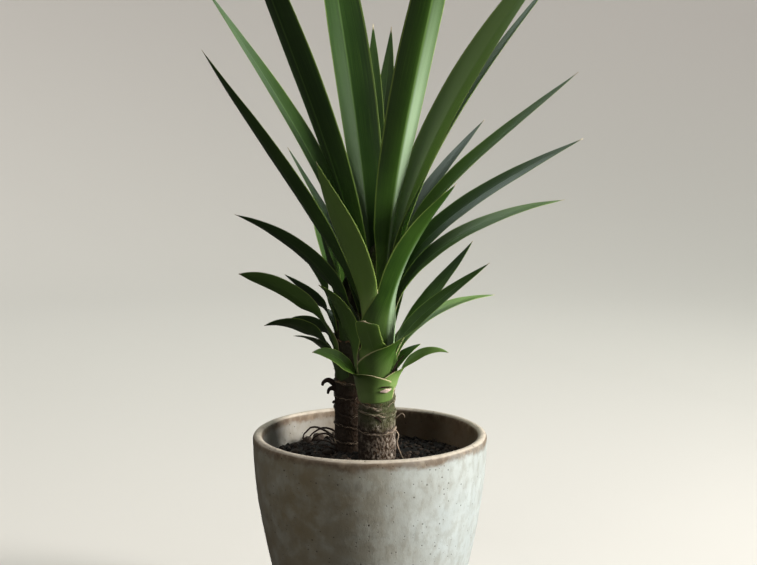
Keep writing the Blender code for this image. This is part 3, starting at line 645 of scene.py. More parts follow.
def bark_finish(look, name, centre, pale):
    """Bark of one cane. Pale is how much of the papery skin has stayed on it;
    below 1 it also darkens the whole cane with painted shade.
    """
    material, sheet = new_finish(name, look.bark, Specular_IOR_Level=0.35)
    about = {"Vector": sheet.place, "Location": (-centre[0], -centre[1], 0.0)}
    at = sheet.out(sheet.add("ShaderNodeMapping", about))
    green, paper, crack = (read(sheet, n) for n in ("green", "paper", "crack"))
    fibres = sheet.mask("Streaks", at, Stretch=(1.0, 1.0, 0.45), Scale=900.0)
    strands = sheet.mask("Streaks", at, Stretch=(1.0, 1.0, 0.6), Scale=420.0)
    rings = sheet.mask("Streaks", at, Stretch=(0.12, 0.12, 1.0), Scale=520.0)
    blotches = sheet.mask("Clouds", at, Scale=110.0, Cover=0.45, Softness=0.12)
    scurf = sheet.mask("Clouds", at * (1.0, 1.0, 0.7), Scale=520.0, Cover=0.5, Softness=0.06, Detail=6.0)
    holes = sheet.mask("Clouds", at * (1.0, 1.0, 0.6), Scale=780.0, Cover=0.4, Softness=0.05, Detail=5.0)
    torn = sheet.mask("Clouds", at, Scale=150.0, Cover=0.47, Softness=0.06)
    base = sheet.mix(fibres * 0.3 + strands * 0.15, look.bark, look.crack)
    base = sheet.mix(scurf * (0.15 + 0.6 * blotches) * pale, base, look.scurf)
    base = sheet.mix(holes * 0.9, base, look.crack)
    base = sheet.mix(rings * blotches * 0.5, base, look.crack)
    skin = sheet.mix(rings * 0.35 + blotches * 0.35, look.green, YOUNG_RINGS)
    base = sheet.mix(green * (0.95 - 0.45 * strands * blotches), base, skin)
    base = sheet.mix(crack * (0.85 - 0.5 * green), base, look.crack)
    paper = paper * torn
    base = sheet.mix(paper * (0.6 + 0.35 * fibres) * pale, base, look.dry)
    specks = sheet.mask("Specks", at, Scale=520.0, Share=0.35, Size=0.3)
    base = sheet.mix(specks * (0.25 + 0.4 * green), base, look.crack)
    # Painted shade over a whole cane, the deeper the less papery skin it keeps: the rear cane stands in
    # shade.
    base = sheet.mix(0.75 - 0.75 * pale, base, look.crack)
    # Painted shade: the bark darkens towards its left side, which faces away from the light.
    painted_shade_side = sheet.smooth(sheet.parts(at)[0] + blotches * 0.003, 0.002, -0.011) * (1.0 - 0.5 * green)
    base = sheet.mix(painted_shade_side * 0.8, base, look.crack)
    height = fibres * 0.4 + strands * 0.4 + scurf * 0.5 - holes * 0.8
    height = height + rings * green * 0.3 - crack * 0.8 + paper * 0.5
    paint(sheet, base, 0.85 - 0.35 * green + paper * 0.05, height, 0.7, 0.0006)
    return material


def mix_finish(look):
    """Dark, crumbly mix with brown bits."""
    material, sheet = new_finish("potting_mix", look.dark, Specular_IOR_Level=0.3)
    shade = read(sheet, "shade")
    crumbs = sheet.noise(sheet.place, 420.0, detail=4.0, roughness=0.7)
    damp = sheet.mask("Clouds", sheet.place, Scale=28.0, Cover=0.5, Softness=0.2)
    level = sheet.smooth(shade * 0.8 + crumbs * 0.55 - damp * 0.15, 0.35, 1.15)
    base = sheet.mix(level, look.dark, look.light)
    bits = sheet.mask("Specks", sheet.place, Scale=330.0, Share=0.16, Size=0.28)
    base = sheet.mix(bits * 0.7, base, BITS)
    paint(sheet, base, 0.9 - 0.1 * damp, crumbs, 0.8, 0.0008)
    return material


def strand_finish(name, tint, stretch):
    """Roots, fibres and dry scraps: one tint, with darker and lighter streaks."""
    material, sheet = new_finish(name, tint, Specular_IOR_Level=0.3)
    streaks = sheet.mask("Streaks", sheet.place, Stretch=stretch, Scale=900.0)
    patches = sheet.mask("Clouds", sheet.place, Scale=160.0, Cover=0.5, Softness=0.15)
    base = sheet.mix(streaks * 0.6, tint, tuple(0.35 * c for c in tint))
    base = sheet.mix(patches * 0.4, base, tuple(min(1.0, 1.9 * c) for c in tint))
    paint(sheet, base, 0.75 + 0.2 * streaks, streaks, 0.5, 0.0003)
    return material


LEAF_VALUES = {
    "Heading": 0.0,
    "Swing": 0.0,
    "Clasp Radius": 0.015,
    "Clasp Angle": 0.8,
    "Opened By": 0.3,
    "Width": 0.024,
    "Neck": 0.6,  # width of the blade where it leaves the sheath, as a share of its full width
    "Widest": 0.5,  # how far along the blade it is widest
    "Taper": 1.9,
    "Fold": 0.2,
    "Roll": 0.0,
    "Base Thickness": 0.0018,
    "Tip Thickness": 0.0009,
    "Crease": 0.0016,
    "Ruffle": 0.0007,
    "Slant": 0.0,
    "Seed": 0.0,
    "Tone": 0.4,
    "Rib": 0.2,
    "Bloom": 0.0,
    "Channel": 22.0,  # how sharply the open blade is hollowed across: one over the hollow's radius
    "Run": 0.009,
    "Run Share": 0.1,
    "Sink": 0.0017,
}


def leaf_tree():
    """Geometry Nodes that grow one leaf: a tube, flattened about a curved midrib and clasping at its base."""
    given = [(name, "vector", (0.0, 0.0, 0.0)) for name in ("Foot", "Foot Handle", "Tip Handle", "Tip")]
    given += [(name, "value", default) for name, default in LEAF_VALUES.items()]
    given += [("Rows", "count", 88), ("Around", "count", 36), ("Material", "material", None)]
    sheet = Sheet(bpy.data.node_groups.new("Yucca Leaf", "GeometryNodeTree"), given, [("Geometry", "shape")])
    tube = {"Vertices": sheet["Around"], "Side Segments": sheet["Rows"], "Radius": 1.0, "Depth": 1.0}
    shape = sheet.out(sheet.add("GeometryNodeMeshCylinder", tube, fill_type="NGON"), "Mesh")
    maths = sheet.maths

    x, side_up, z = sheet.parts(sheet.out(sheet.add("GeometryNodeInputPosition")))
    whole = (z + 0.5 - sheet["Run Share"]) / (1.0 - sheet["Run Share"])
    t = maths("MAXIMUM", whole, 0.0)
    below = maths("MAXIMUM", whole * -1.0, 0.0) * (1.0 - sheet["Run Share"]) / sheet["Run Share"]
    s = 1.0 - t
    across = x * (1.0 - 0.35 * side_up * side_up)
    p0, p1, p2, p3 = (sheet[name] for name in ("Foot", "Foot Handle", "Tip Handle", "Tip"))
    point = p0 * (s * s * s) + p1 * (3.0 * s * s * t) + p2 * (3.0 * s * t * t) + p3 * (t * t * t)
    along = (p1 - p0) * (s * s) + (p2 - p1) * (2.0 * s * t) + (p3 - p2) * (t * t)
    opened_by = sheet["Opened By"]
    opened = sheet.smooth(t, 0.0, opened_by)
    upright = sheet.vector(0.0, 0.0, 1.0 - sheet.smooth(t, 0.0, opened_by * 0.7))
    along = maths("NORMALIZE", maths("NORMALIZE", along) + upright * 1.5)
    heading = sheet["Heading"] + sheet["Swing"] * sheet.smooth(t, 0.0, 0.5) + math.pi / 2
    level = sheet.vector(maths("COSINE", heading), maths("SINE", heading), 0.0)
    side = maths("NORMALIZE", level - along * maths("DOT_PRODUCT", level, along))
    face = maths("CROSS_PRODUCT", along, side)
    roll = sheet["Roll"] * sheet.smooth(t, opened_by * 0.5, opened_by * 0.5 + 0.3)
    roll_cos, roll_sin = maths("COSINE", roll), maths("SINE", roll)
    side, face = side * roll_cos + face * roll_sin, face * roll_cos - side * roll_sin

    clasp_radius = sheet["Clasp Radius"] - sheet["Sink"] * below
    swell = maths("SINE", maths("MINIMUM", t / sheet["Widest"], 1.0) * (math.pi / 2))
    taper = maths("MAXIMUM", (t - sheet["Widest"]) / (1.0 - sheet["Widest"]), 0.0) ** sheet["Taper"]
    blade = sheet["Width"] * (sheet["Neck"] + (1.0 - sheet["Neck"]) * swell - taper)
    half = (1.0 - opened) * clasp_radius * sheet["Clasp Angle"] + opened * blade * 0.5
    half = maths("MAXIMUM", half, 0.0003)
    bend = (1.0 - opened) / clasp_radius + opened * sheet["Channel"]
    span = maths("ABSOLUTE", across) * half
    sideways = maths("SINE", bend * span) / bend
    arch = (1.0 - maths("COSINE", bend * span)) / bend
    reach = maths("SQRT", sideways * sideways + sheet["Crease"] * sheet["Crease"])
    fold = sheet["Fold"] * opened * (1.0 - 0.5 * t)
    fold_cos, fold_sin = maths("COSINE", fold), maths("SINE", fold)
    turn = bend * span + fold * sideways / reach
    middle = sheet.mix(sheet.smooth(t, 0.0, 0.7), sheet["Base Thickness"], sheet["Tip Thickness"])
    off = middle * 0.5 * side_up * (1.0 - 0.7 * sheet.smooth(t, 0.93, 1.0))
    tilted = sideways * fold_cos - arch * fold_sin - maths("SINE", turn) * off
    sign = maths("SIGN", across)
    flow = sheet.noise(sheet.vector(t * 5.0, sign * 3.0, sheet["Seed"]), 1.0, detail=1.0) - 0.5
    ripple = sheet["Ruffle"] * 2.0 * flow * across * across * opened
    rise = (reach - sheet["Crease"]) * fold_sin + arch * fold_cos + maths("COSINE", turn) * off + ripple
    cut = along * (sheet["Slant"] * across * sheet.smooth(t, 0.4, 1.0))
    down = sheet.vector(0.0, 0.0, below * sheet["Run"] * -1.0)
    place = point + down + side * (tilted * sign) + face * (rise + below * sheet["Sink"]) + cut

    stored = {"along": t, "across": across, "top": sheet.smooth(side_up, -0.2, 0.2), "sheath": 1.0 - opened}
    stored.update(tone=sheet["Tone"], ribbed=sheet["Rib"], bloom=sheet["Bloom"])
    for name, value in stored.items():
        keep = sheet.add("GeometryNodeStoreNamedAttribute", {"Geometry": shape, "Name": name, "Value": value})
        shape = sheet.out(keep)
    shape = sheet.out(sheet.add("GeometryNodeSetPosition", {"Geometry": shape, "Position": place}))
    return sheet.finish(Geometry=closing(sheet, shape))


def closing(sheet, shape):
    """Shades a tree's result smooth, makes its instances real and gives it the material."""
    shape = sheet.out(sheet.add("GeometryNodeSetShadeSmooth", {"Geometry": shape}))
    shape = sheet.out(sheet.add("GeometryNodeRealizeInstances", {"Geometry": shape}))
    return sheet.out(sheet.add("GeometryNodeSetMaterial", {"Geometry": shape, "Material": sheet["Material"]}))


def carried(sheet, name, kind="FLOAT"):
    """An attribute that a shape carries, in a Geometry Nodes tree."""
    return sheet.out(sheet.add("GeometryNodeInputNamedAttribute", {"Name": name}, data_type=kind))


def strand_tree():
    """Geometry Nodes that turn lines of points, which carry a radius and a facing, into tubes or strips."""
    given = [("Lines", "shape", None), ("Sides", "count", 6), ("Flatness", "value", 1.0)]
    given += [("Material", "material", None)]
    sheet = Sheet(bpy.data.node_groups.new("Strands", "GeometryNodeTree"), given, [("Geometry", "shape")])
    curve = sheet.out(sheet.add("GeometryNodeMeshToCurve", {"Mesh": sheet["Lines"]}))
    facing, radius = carried(sheet, "facing", "FLOAT_VECTOR"), carried(sheet, "radius")
    normal = sheet.add("GeometryNodeSetCurveNormal", {"Curve": curve, "Normal": facing}, mode="FREE")
    ring = sheet.add("GeometryNodeCurvePrimitiveCircle", {"Resolution": sheet["Sides"], "Radius": 1.0})
    size = {"Geometry": sheet.out(ring), "Scale": sheet.vector(sheet["Flatness"], 1.0, 1.0)}
    profile = sheet.out(sheet.add("GeometryNodeTransform", size))
    inputs = {"Curve": sheet.out(normal), "Profile Curve": profile, "Scale": radius, "Fill Caps": True}
    return sheet.finish(Geometry=closing(sheet, sheet.out(sheet.add("GeometryNodeCurveToMesh", inputs))))


def crumb_tree():
    """Geometry Nodes that scatter crumbs of four shapes over the open part of the mix."""
    given = [("Surface", "shape", None), ("Density", "value", 90000.0), ("Smallest", "value", 0.0005)]
    given += [("Largest", "value", 0.0022), ("Seed", "count", 5), ("Material", "material", None)]
    sheet = Sheet(bpy.data.node_groups.new("Crumbs", "GeometryNodeTree"), given, [("Geometry", "shape")])
    density = sheet["Density"] * carried(sheet, "open")
    inputs = {"Mesh": sheet["Surface"], "Density": density, "Seed": sheet["Seed"]}
    points = sheet.out(sheet.add("GeometryNodeDistributePointsOnFaces", inputs), "Points")
    normal = sheet.out(sheet.add("GeometryNodeInputNormal"))
    here = sheet.out(sheet.add("GeometryNodeInputPosition"))
    lumps = sheet.add("GeometryNodeJoinGeometry")
    for i in range(4):
        ball = sheet.out(sheet.add("GeometryNodeMeshIcoSphere", {"Radius": 1.0, "Subdivisions": 2}))
        knock = (sheet.noise(here + (9.0 * i, 0.0, 4.0), 1.1, detail=2.0) - 0.5) * 1.3
        lump = sheet.out(sheet.add("GeometryNodeSetPosition", {"Geometry": ball, "Offset": normal * knock}))
        lump = sheet.out(sheet.add("GeometryNodeGeometryToInstance", {"Geometry": lump}))
        sheet.tree.links.new(lump.socket, lumps.inputs[0])

    def chance(low, high, seed, kind="FLOAT"):
        first = {"FLOAT": 2, "INT": 4, "FLOAT_VECTOR": 0}[kind]
        limits = {first: low, first + 1: high, "Seed": seed}
        node = sheet.add("FunctionNodeRandomValue", limits, data_type=kind)
        return sheet.out(node, {"FLOAT": 1, "INT": 2, "FLOAT_VECTOR": 0}[kind])

    size = sheet["Smallest"] + (sheet["Largest"] - sheet["Smallest"]) * chance(0.0, 1.0, 1) ** 2.6
    flat = sheet.vector(size, size * chance(0.7, 1.0, 2), size * chance(0.5, 0.9, 3))
    turn = chance((0.0, 0.0, 0.0), (math.tau, math.tau, math.tau), 4, "FLOAT_VECTOR")
    inputs = {"Points": points, "Instance": sheet.out(lumps), "Pick Instance": True}
    inputs.update({"Instance Index": chance(0, 3, 5, "INT"), "Rotation": turn, "Scale": flat})
    crumbs = sheet.out(sheet.add("GeometryNodeInstanceOnPoints", inputs))
    inputs = {"Geometry": crumbs, "Name": "shade", "Value": chance(0.0, 1.0, 6)}
    crumbs = sheet.out(sheet.add("GeometryNodeStoreNamedAttribute", inputs, domain="INSTANCE"))
    return sheet.finish(Geometry=closing(sheet, crumbs))


def grown(tree, name, mesh=None, **values):
    """A plain mesh object of what a tree makes from a mesh with these values."""
    thing = bpy.data.objects.new(name, mesh or bpy.data.meshes.new(name))
    bpy.context.scene.collection.objects.link(thing)
    modifier = thing.modifiers.new("Nodes", "NODES")
    modifier.node_group = bpy.data.node_groups[tree]
    for item in modifier.node_group.interface.items_tree:
        if item.in_out == "INPUT" and item.name.replace(" ", "_") in values:
            modifier[item.identifier] = values[item.name.replace(" ", "_")]
    bpy.context.view_layer.update()
    evaluated = thing.evaluated_get(bpy.context.evaluated_depsgraph_get())
    result = bpy.data.meshes.new_from_object(evaluated)
    thing.modifiers.clear()
    source = thing.data
    thing.data = result
    bpy.data.meshes.remove(source)
    result.name = name
    return thing


def new_mesh(name, points, faces=(), edges=(), material=None, **values):
    """A smooth mesh of points in millimetres, with one value or vector a point in each attribute."""
    mesh = bpy.data.meshes.new(name)
    mesh.from_pydata([Vector(point) * MM for point in points], edges, faces)
    mesh.update()
    mesh.shade_smooth()
    if material:
        mesh.materials.append(material)
    for key, column in values.items():
        column = np.array(column, np.float32)
        kind, field = ("FLOAT_VECTOR", "vector") if column.ndim > 1 else ("FLOAT", "value")
        mesh.attributes.new(key, kind, "POINT").data.foreach_set(field, column.ravel())
    return mesh


def add_piece(name, mesh):
    thing = bpy.data.objects.new(name, mesh)
    bpy.context.scene.collection.objects.link(thing)
    return thing


def settle(thing, slot, *nodes):
    """Lets a finished piece ride on the plant and hides the nodes that it stands for. Slot is not used."""
    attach(thing, BODY)
    if nodes:
        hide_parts(*nodes)


def smooth(x, low, high):
    """0 below low, 1 above high, and an eased step between them."""
    t = min(max((x - low) / (high - low), 0.0), 1.0)
    return t * t * (3.0 - 2.0 * t)


def circle(steps):
    """Directions evenly spread round a circle, as pairs of a cosine and a sine."""
    return [(math.cos(math.tau * j / steps), math.sin(math.tau * j / steps)) for j in range(steps)]


def ring_faces(count, steps):
    """Faces of a body made of rings of equal length, between a first and a last point."""
    faces = []
    last = 1 + count * steps
    for j in range(steps):
        k = (j + 1) % steps
        faces.append((0, 1 + k, 1 + j))
        for i in range(count - 1):
            low, high = 1 + i * steps, 1 + (i + 1) * steps
            faces.append((low + j, low + k, high + k, high + j))
        faces.append((last - steps + j, last - steps + k, last))
    return faces


def arc(centre, radius, start, end, steps):
    """Points of an arc in the (radius, height) plane."""
    angles = [math.radians(start + (end - start) * i / steps) for i in range(steps + 1)]
    return [(centre[0] + radius * math.cos(a), centre[1] + radius * math.sin(a)) for a in angles]


def outer_radius(look, height):
    """Outer radius of the pot at a height, both in millimetres."""
    rim, foot, top = (value / MM for value in (look.rim_radius, look.foot_radius, look.height))
    return rim - (rim - foot) * max(0.0, 1 - height / top) ** WALL_SWELL


def pot_profile(look):
    """(radius, height, inside) of the pot's section, from the middle of its foot over the lip to its floor.

    Inside is 0 on the outer wall and the lip's outer half, and 1 from there inwards.
    """
    top, wall = look.height / MM - LIP_ROUND, look.wall / MM
    outer = arc((outer_radius(look, FOOT_ROUND) - FOOT_ROUND, FOOT_ROUND), FOOT_ROUND, -90, 0, 8)
    outer = [(r, 0.0) for r in np.linspace(4, outer[0][0] - 1, 8)] + outer
    outer += [(outer_radius(look, z), z) for z in np.linspace(FOOT_ROUND, top, 70)[1:]]
    over = arc((outer_radius(look, top) - LIP_ROUND, top), LIP_ROUND, 0, 90, 8)[1:]
    down = arc((outer_radius(look, top) - wall + LIP_ROUND, top), LIP_ROUND, 90, 180, 8)[:-1]
    corner = FLOOR + FLOOR_ROUND
    inner = [(outer_radius(look, z) - wall, z) for z in np.linspace(top, corner, 50)]
    inner += arc((inner[-1][0] - FLOOR_ROUND, corner), FLOOR_ROUND, 0, -90, 8)[1:]
    inner += [(r, FLOOR) for r in np.linspace(inner[-1][0] - 4, 4, 8)]
    return [(r, z, 0.0) for r, z in outer + over] + [(r, z, 1.0) for r, z in down + inner]


def pot_mesh(look, material):
    """The thrown pot: turned, with a slightly wandering wall and lip."""
    section = pot_profile(look)
    points, inside = [(0.0, 0.0, 0.0)], [0.0]
    wander = look.unevenness / MM
    for radius, height, within in section:
        for x, y in circle(look.steps):
            stray = noise.noise(Vector((x * 1.3, y * 1.3, height / 45.0)))
            stray += 0.35 * noise.noise(Vector((x, y, height / 7.0)))
            r = radius + wander * stray * smooth(radius, 20.0, 50.0)
            lift = 0.6 * wander * noise.noise(Vector((x * 1.5, y * 1.5, 5.0))) * smooth(height, 60.0, 150.0)
            points.append((r * x, r * y, height + lift))
            inside.append(within)
    points.append((0.0, 0.0, FLOOR))
    faces = ring_faces(len(section), look.steps)
    return new_mesh("glazed_pot", points, faces, material=material, inside=inside + [1.0])


def soil_height(x, y):
    """Height of the potting mix, which is heaped around the canes."""
    heap = max(math.exp(-((x - s.x) ** 2 + (y - s.y) ** 2) / (2 * MOUND_SPREAD**2)) for s in STEMS.values())
    ripple = math.sin(x / 7.3 + 0.8) * math.sin(y / 6.1 - 0.5)
    ripple += 0.6 * math.sin((x + y) / 3.7) * math.sin((x - y) / 4.9)
    return SOIL_TOP + MOUND * heap + SOIL_RELIEF * ripple


def mix_mesh(pot, material):
    """The filling of the pot, crumbly on top, and where crumbs may lie on it."""
    room = pot.wall / MM + MIX_GAP
    edge = outer_radius(pot, SOIL_TOP) - room
    points = [(0.0, 0.0, FLOOR + MIX_GAP)]
    heights = np.linspace(FLOOR + MIX_GAP, SOIL_TOP - 3.0, 9)
    for height in heights:
        radius = outer_radius(pot, max(height, 20.0)) - room
        points += [(radius * x, radius * y, height) for x, y in circle(MIX_STEPS)]
    openness = [0.0] * len(points)
    for i in range(MIX_RINGS):
        radius = edge * (1 - i / MIX_RINGS)
        for towards_x, towards_y in circle(MIX_STEPS):
            x, y = radius * towards_x, radius * towards_y
            spot = Vector((x, y, 0.0))
            rough = 1.1 * noise.fractal(spot / 3.2, 0.9, 2.1, 4) + 0.5 * noise.noise(spot / 1.1)
            points.append((x, y, soil_height(x, y) + rough))
            clear = min(math.hypot(x - s.x, y - s.y) - s.cane_radius for s in STEMS.values())
            openness.append(smooth(clear, 0.3, 1.5) * smooth(edge - radius, 0.8, 2.5))
    points.append((0.0, 0.0, soil_height(0.0, 0.0)))
    faces = ring_faces(len(heights) + MIX_RINGS, MIX_STEPS)
    shade = [0.25] * len(points)
    return new_mesh("mix_surface", points, faces, material=material, open=openness + [1.0], shade=shade)


def clod_mesh(pot, material):
    """The larger clods, half sunk, clear of each other, the canes, the roots and the pot."""
    rng = random.Random(CLOD_SEED)
    reach = outer_radius(pot, SOIL_TOP) - pot.wall / MM - CLOD_SIZES[1] - WALL_ROOM
    taken = [(s.x, s.y, s.cane_radius + CANE_ROOM) for s in STEMS.values()]
    for line, _, _ in ROOTS[:THICK_ROOTS]:
        taken += [(x, y, ROOT_ROOM) for x, y, z in line if z < SOIL_TOP + MOUND]
    ball, ball_faces = ball_points(18, 12)
    points, faces, shades = [], [], []
    placed = 0
    while placed < CLODS:
        radius = rng.uniform(*CLOD_SIZES)
        away, heading = reach * math.sqrt(rng.random()), rng.uniform(0, 360)
        x, y = away * math.cos(math.radians(heading)), away * math.sin(math.radians(heading))
        if any(math.hypot(x - a, y - b) < radius + c for a, b, c in taken):
            continue
        taken.append((x, y, radius + CLOD_GAP))
        placed += 1
        squash = Vector((1.0, rng.uniform(0.75, 1.0), rng.uniform(0.6, 0.85)))
        turn = rng.uniform(0, math.tau)
        lean = rng.uniform(0, 0.9)
        first = len(points)
        centre = Vector((x, y, soil_height(x, y) + 0.15 * radius))
        for p in ball:
            lump = 1.0 + 0.24 * noise.fractal(p * 1.4 + Vector((placed * 7.1, 0, 0)), 0.8, 2.0, 4)
            q = Vector(p * lump * radius) * squash
            q.y, q.z = turned(q.y, q.z, lean)
            q.x, q.y = turned(q.x, q.y, turn)
            points.append(centre + q)
        faces += [tuple(first + i for i in face) for face in ball_faces]
        shades += [0.35 + 0.5 * rng.random()] * len(ball)
    return new_mesh("mix_clods", points, faces, material=material, shade=shades)


def turned(a, b, angle):
    """A pair of coordinates, turned about the origin."""
    return a * math.cos(angle) - b * math.sin(angle), a * math.sin(angle) + b * math.cos(angle)


def ball_points(steps, rows):
    """Points and faces of a ball of radius 1."""
    points = [Vector((0, 0, -1))]
    for i in range(1, rows):
        b = math.pi * i / rows - math.pi / 2
        points += [Vector((math.cos(b) * x, math.cos(b) * y, math.sin(b))) for x, y in circle(steps)]
    points.append(Vector((0, 0, 1)))
    return points, ring_faces(rows - 1, steps)


def crown_radius(stem, height):
    """Radius of a stem's green core, which rounds off to its growing tip."""
    share = min(max((height - stem.crown_base) / (stem.crown_top - stem.crown_base), 0.0), 1.0)
    return stem.tip_radius + (stem.crown_radius - stem.tip_radius) * math.sqrt(1 - share * share)


def bark_radius(stem, height):
    """Radius of a cane, which narrows to its green core just below the crown."""
    share = smooth(height, stem.crown_base - BARK_END, stem.crown_base)
    return stem.cane_radius + (crown_radius(stem, height) - stem.cane_radius) * share


def scar_height(scar, i, angle):
    """Height of a ring scar at an angle round its cane: it dips to a blunt point on one side."""
    depth, heading = DIPS[i % len(DIPS)]
    return scar + depth * (0.5 - abs(math.cos(0.5 * (angle - math.radians(heading)))) ** 3)


def cane_mesh(name, stem, look, green_from, material):
    """A cane with ring scars and cracked bark, which turns green and runs on as the core of its rosette."""
    lip, relief = look.lip / MM, look.relief / MM
    fine_to = stem.crown_base + FINE_PAST
    heights = list(np.linspace(CANE_FOOT, FINE_FROM, 12))
    heights += list(np.arange(FINE_FROM + 1.0, fine_to, FINE_ROW))
    heights += list(np.linspace(fine_to + 2.0, stem.crown_top, 44))
    points, greens, papers, cracks = [(stem.x, stem.y, CANE_FOOT)], [0.0], [0.0], [0.0]
    for z in heights:
        radius = bark_radius(stem, z)
        calm = 1 - smooth(z, stem.crown_base - BARK_END, stem.crown_base) * 0.6
        for j in range(look.around):
            a = math.tau * j / look.around
            x, y = math.cos(a), math.sin(a)
            spot = Vector((x * 12.0, y * 12.0, z))
            green = smooth(z + 5.0 * noise.noise(spot / 6.0), green_from - GREENING, green_from + GREENING)
            ring = paper = shade = 0.0
            for i, scar in enumerate(stem.scars):
                edge = scar_height(scar, i, a) + 1.3 * noise.noise(Vector((x * 2.6, y * 2.6, 3.0 * i)))
                edge += 0.6 * noise.noise(Vector((x * 9, y * 9, 3.0 * i)))
                d = z - edge
                ring += smooth(d, -2.6, -0.3) - 1.5 * smooth(d, -0.3, 0.3) + 0.5 * smooth(d, 0.3, 2.2)
                paper = max(paper, smooth(d, -0.95, -0.5) * (1 - smooth(d, -0.1, 0.25)))
                # Painted shade in the groove just above each scar's edge, carried on with the cracks.
                shade = max(shade, smooth(d, -0.1, 0.3) * (1 - smooth(d, 0.5, 2.4)))
            fibres = noise.noise(Vector((x * 15, y * 15, z / 2.4))) * 0.5
            fibres += noise.noise(Vector((x * 34, y * 34, z / 1.4))) * 0.4
            split = noise.fractal(Vector((x * 10, y * 10, z / 2.6)), 0.8, 2.2, 3)
            crack = max(smooth(split, 0.12, 0.42) * (1 - 0.75 * green), 0.9 * shade)
            rough = (fibres - crack) * relief * (1 - 0.7 * green) * calm
            r = radius + lip * ring + rough
            points.append((stem.x + r * x, stem.y + r * y, z))
            greens.append(green)
            papers.append(paper)
            cracks.append(crack)
    points.append((stem.x, stem.y, stem.crown_top))
    faces = ring_faces(len(heights), look.around)
    skins = {"green": greens + [1.0], "paper": papers + [0.0], "crack": cracks + [0.0]}
    return new_mesh(name, points, faces, material=material, **skins)


def out_from(heading):
    """The level unit vector that points along a heading."""
    angle = math.radians(heading)
    return np.array((math.cos(angle), math.sin(angle), 0.0))


def midrib(leaf, stem):
    """The four control points of a leaf's midrib, and the radius at which its sheath clasps the core."""
    clasp_radius = (crown_radius(stem, leaf.seat) + GAP) / math.cos(FACET) + HALF_BASE
    axis = np.array((stem.x, stem.y, leaf.seat))
    base_out, tip_out = out_from(leaf.heading), out_from(leaf.heading + leaf.swing)
    up = np.array((0.0, 0.0, 1.0))
    start, end = math.radians(leaf.start), math.radians(leaf.end)
    foot = axis + base_out * clasp_radius
    tip = axis + tip_out * leaf.reach + up * leaf.rise
    chord = np.linalg.norm(tip - foot)
    rising = base_out * math.sin(start) + up * math.cos(start)
    arriving = tip_out * math.sin(end) + up * math.cos(end)
    return (foot, foot + rising * BASE_HANDLE * chord, tip - arriving * TIP_HANDLE * chord, tip), clasp_radius


def add_leaf(name, leaf, stem, look, material, seed):
    """One finished leaf, which stands for its node."""
    sheath = SHEATHS.get(name, PLAIN_SHEATH)
    leaf = leaf._replace(seat=leaf.seat + sheath.lift, rise=leaf.rise - sheath.lift)
    leaf = leaf._replace(clasp=max(leaf.clasp, sheath.wrap))
    ends, clasp_radius = midrib(leaf, stem)
    foot, foot_handle, tip_handle, tip = ([float(c) * MM for c in point] for point in ends)
    chord = float(np.linalg.norm(ends[3] - ends[0]))
    flare = crown_radius(stem, leaf.seat - sheath.run) - crown_radius(stem, leaf.seat)
    opened_by = min(SHEATH_SHARE, SHEATH / chord)
    thing = grown(
        "Yucca Leaf", f"yucca_{name}", Foot=foot, Foot_Handle=foot_handle, Tip_Handle=tip_handle, Tip=tip,
        Heading=math.radians(leaf.heading), Swing=math.radians(leaf.swing), Clasp_Radius=clasp_radius * MM,
        Clasp_Angle=math.radians(leaf.clasp), Opened_By=opened_by, Width=leaf.width * MM,
        Run=sheath.run * MM, Run_Share=sheath.run / (sheath.run + chord), Sink=(SHEATH_SINK - flare) * MM,
        Taper=float(leaf.taper), Fold=math.radians(leaf.fold), Roll=math.radians(leaf.roll),
        Base_Thickness=look.base_thickness, Tip_Thickness=look.tip_thickness, Crease=look.crease,
        Ruffle=look.ruffle, Slant=STUB_SLANT if name == "leaf_front_stub" else 0.0, Seed=seed * 3.7,
        Tone=leaf.tone, Rib=leaf.rib, Bloom=leaf.bloom,
        Rows=look.rows, Around=look.around, Material=material,
    )  # fmt: skip
    settle(thing, "leaf", name)


def flowing(points):
    """A smooth line through points."""
    given = [np.array(point, float) for point in points]
    padded = [2 * given[0] - given[1]] + given + [2 * given[-1] - given[-2]]
    shares = np.arange(CURVE_STEPS) / CURVE_STEPS
    line = []
    for i in range(len(given) - 1):
        a, b, c, d = padded[i : i + 4]
        bow, twist = 2 * a - 5 * b + 4 * c - d, 3 * b - 3 * c + d - a
        line += [0.5 * (2 * b + (c - a) * t + bow * t**2 + twist * t**3) for t in shares]
    return line + [given[-1]]


def straying(points):
    """A smooth line near points, as crooked as a root."""
    line = flowing(points)
    drift = [noise.noise_vector(Vector(p) / STRAY_LENGTH) for p in line]
    return [p + ROOT_STRAY * np.array(d) for p, d in zip(line, drift)]


class Lines:
    """Lines of points in millimetres, each with its radius and the way that its flat side faces."""

    def __init__(self):
        self.points, self.edges, self.radii, self.facings = [], [], [], []

    def add(self, line, start, end, facing=LOOSE_FACING):
        first = len(self.points)
        for i, point in enumerate(line):
            share = i / (len(line) - 1)
            self.points.append(tuple(point))
            self.radii.append((start + (end - start) * share) * MM)
            self.facings.append(facing)
        self.edges += [(first + i, first + i + 1) for i in range(len(line) - 1)]

    def grow(self, name, material, sides, flatness=1.0):
        mesh = new_mesh(name, self.points, edges=self.edges, radius=self.radii, facing=self.facings)
        return grown("Strands", name, mesh, Sides=sides, Flatness=flatness, Material=material)


def off_cane(stem, angle, height, away):
    """A point this far off the bark of a cane."""
    radius = bark_radius(stem, height) + away
    return (stem.x + radius * math.cos(angle), stem.y + radius * math.sin(angle), height)


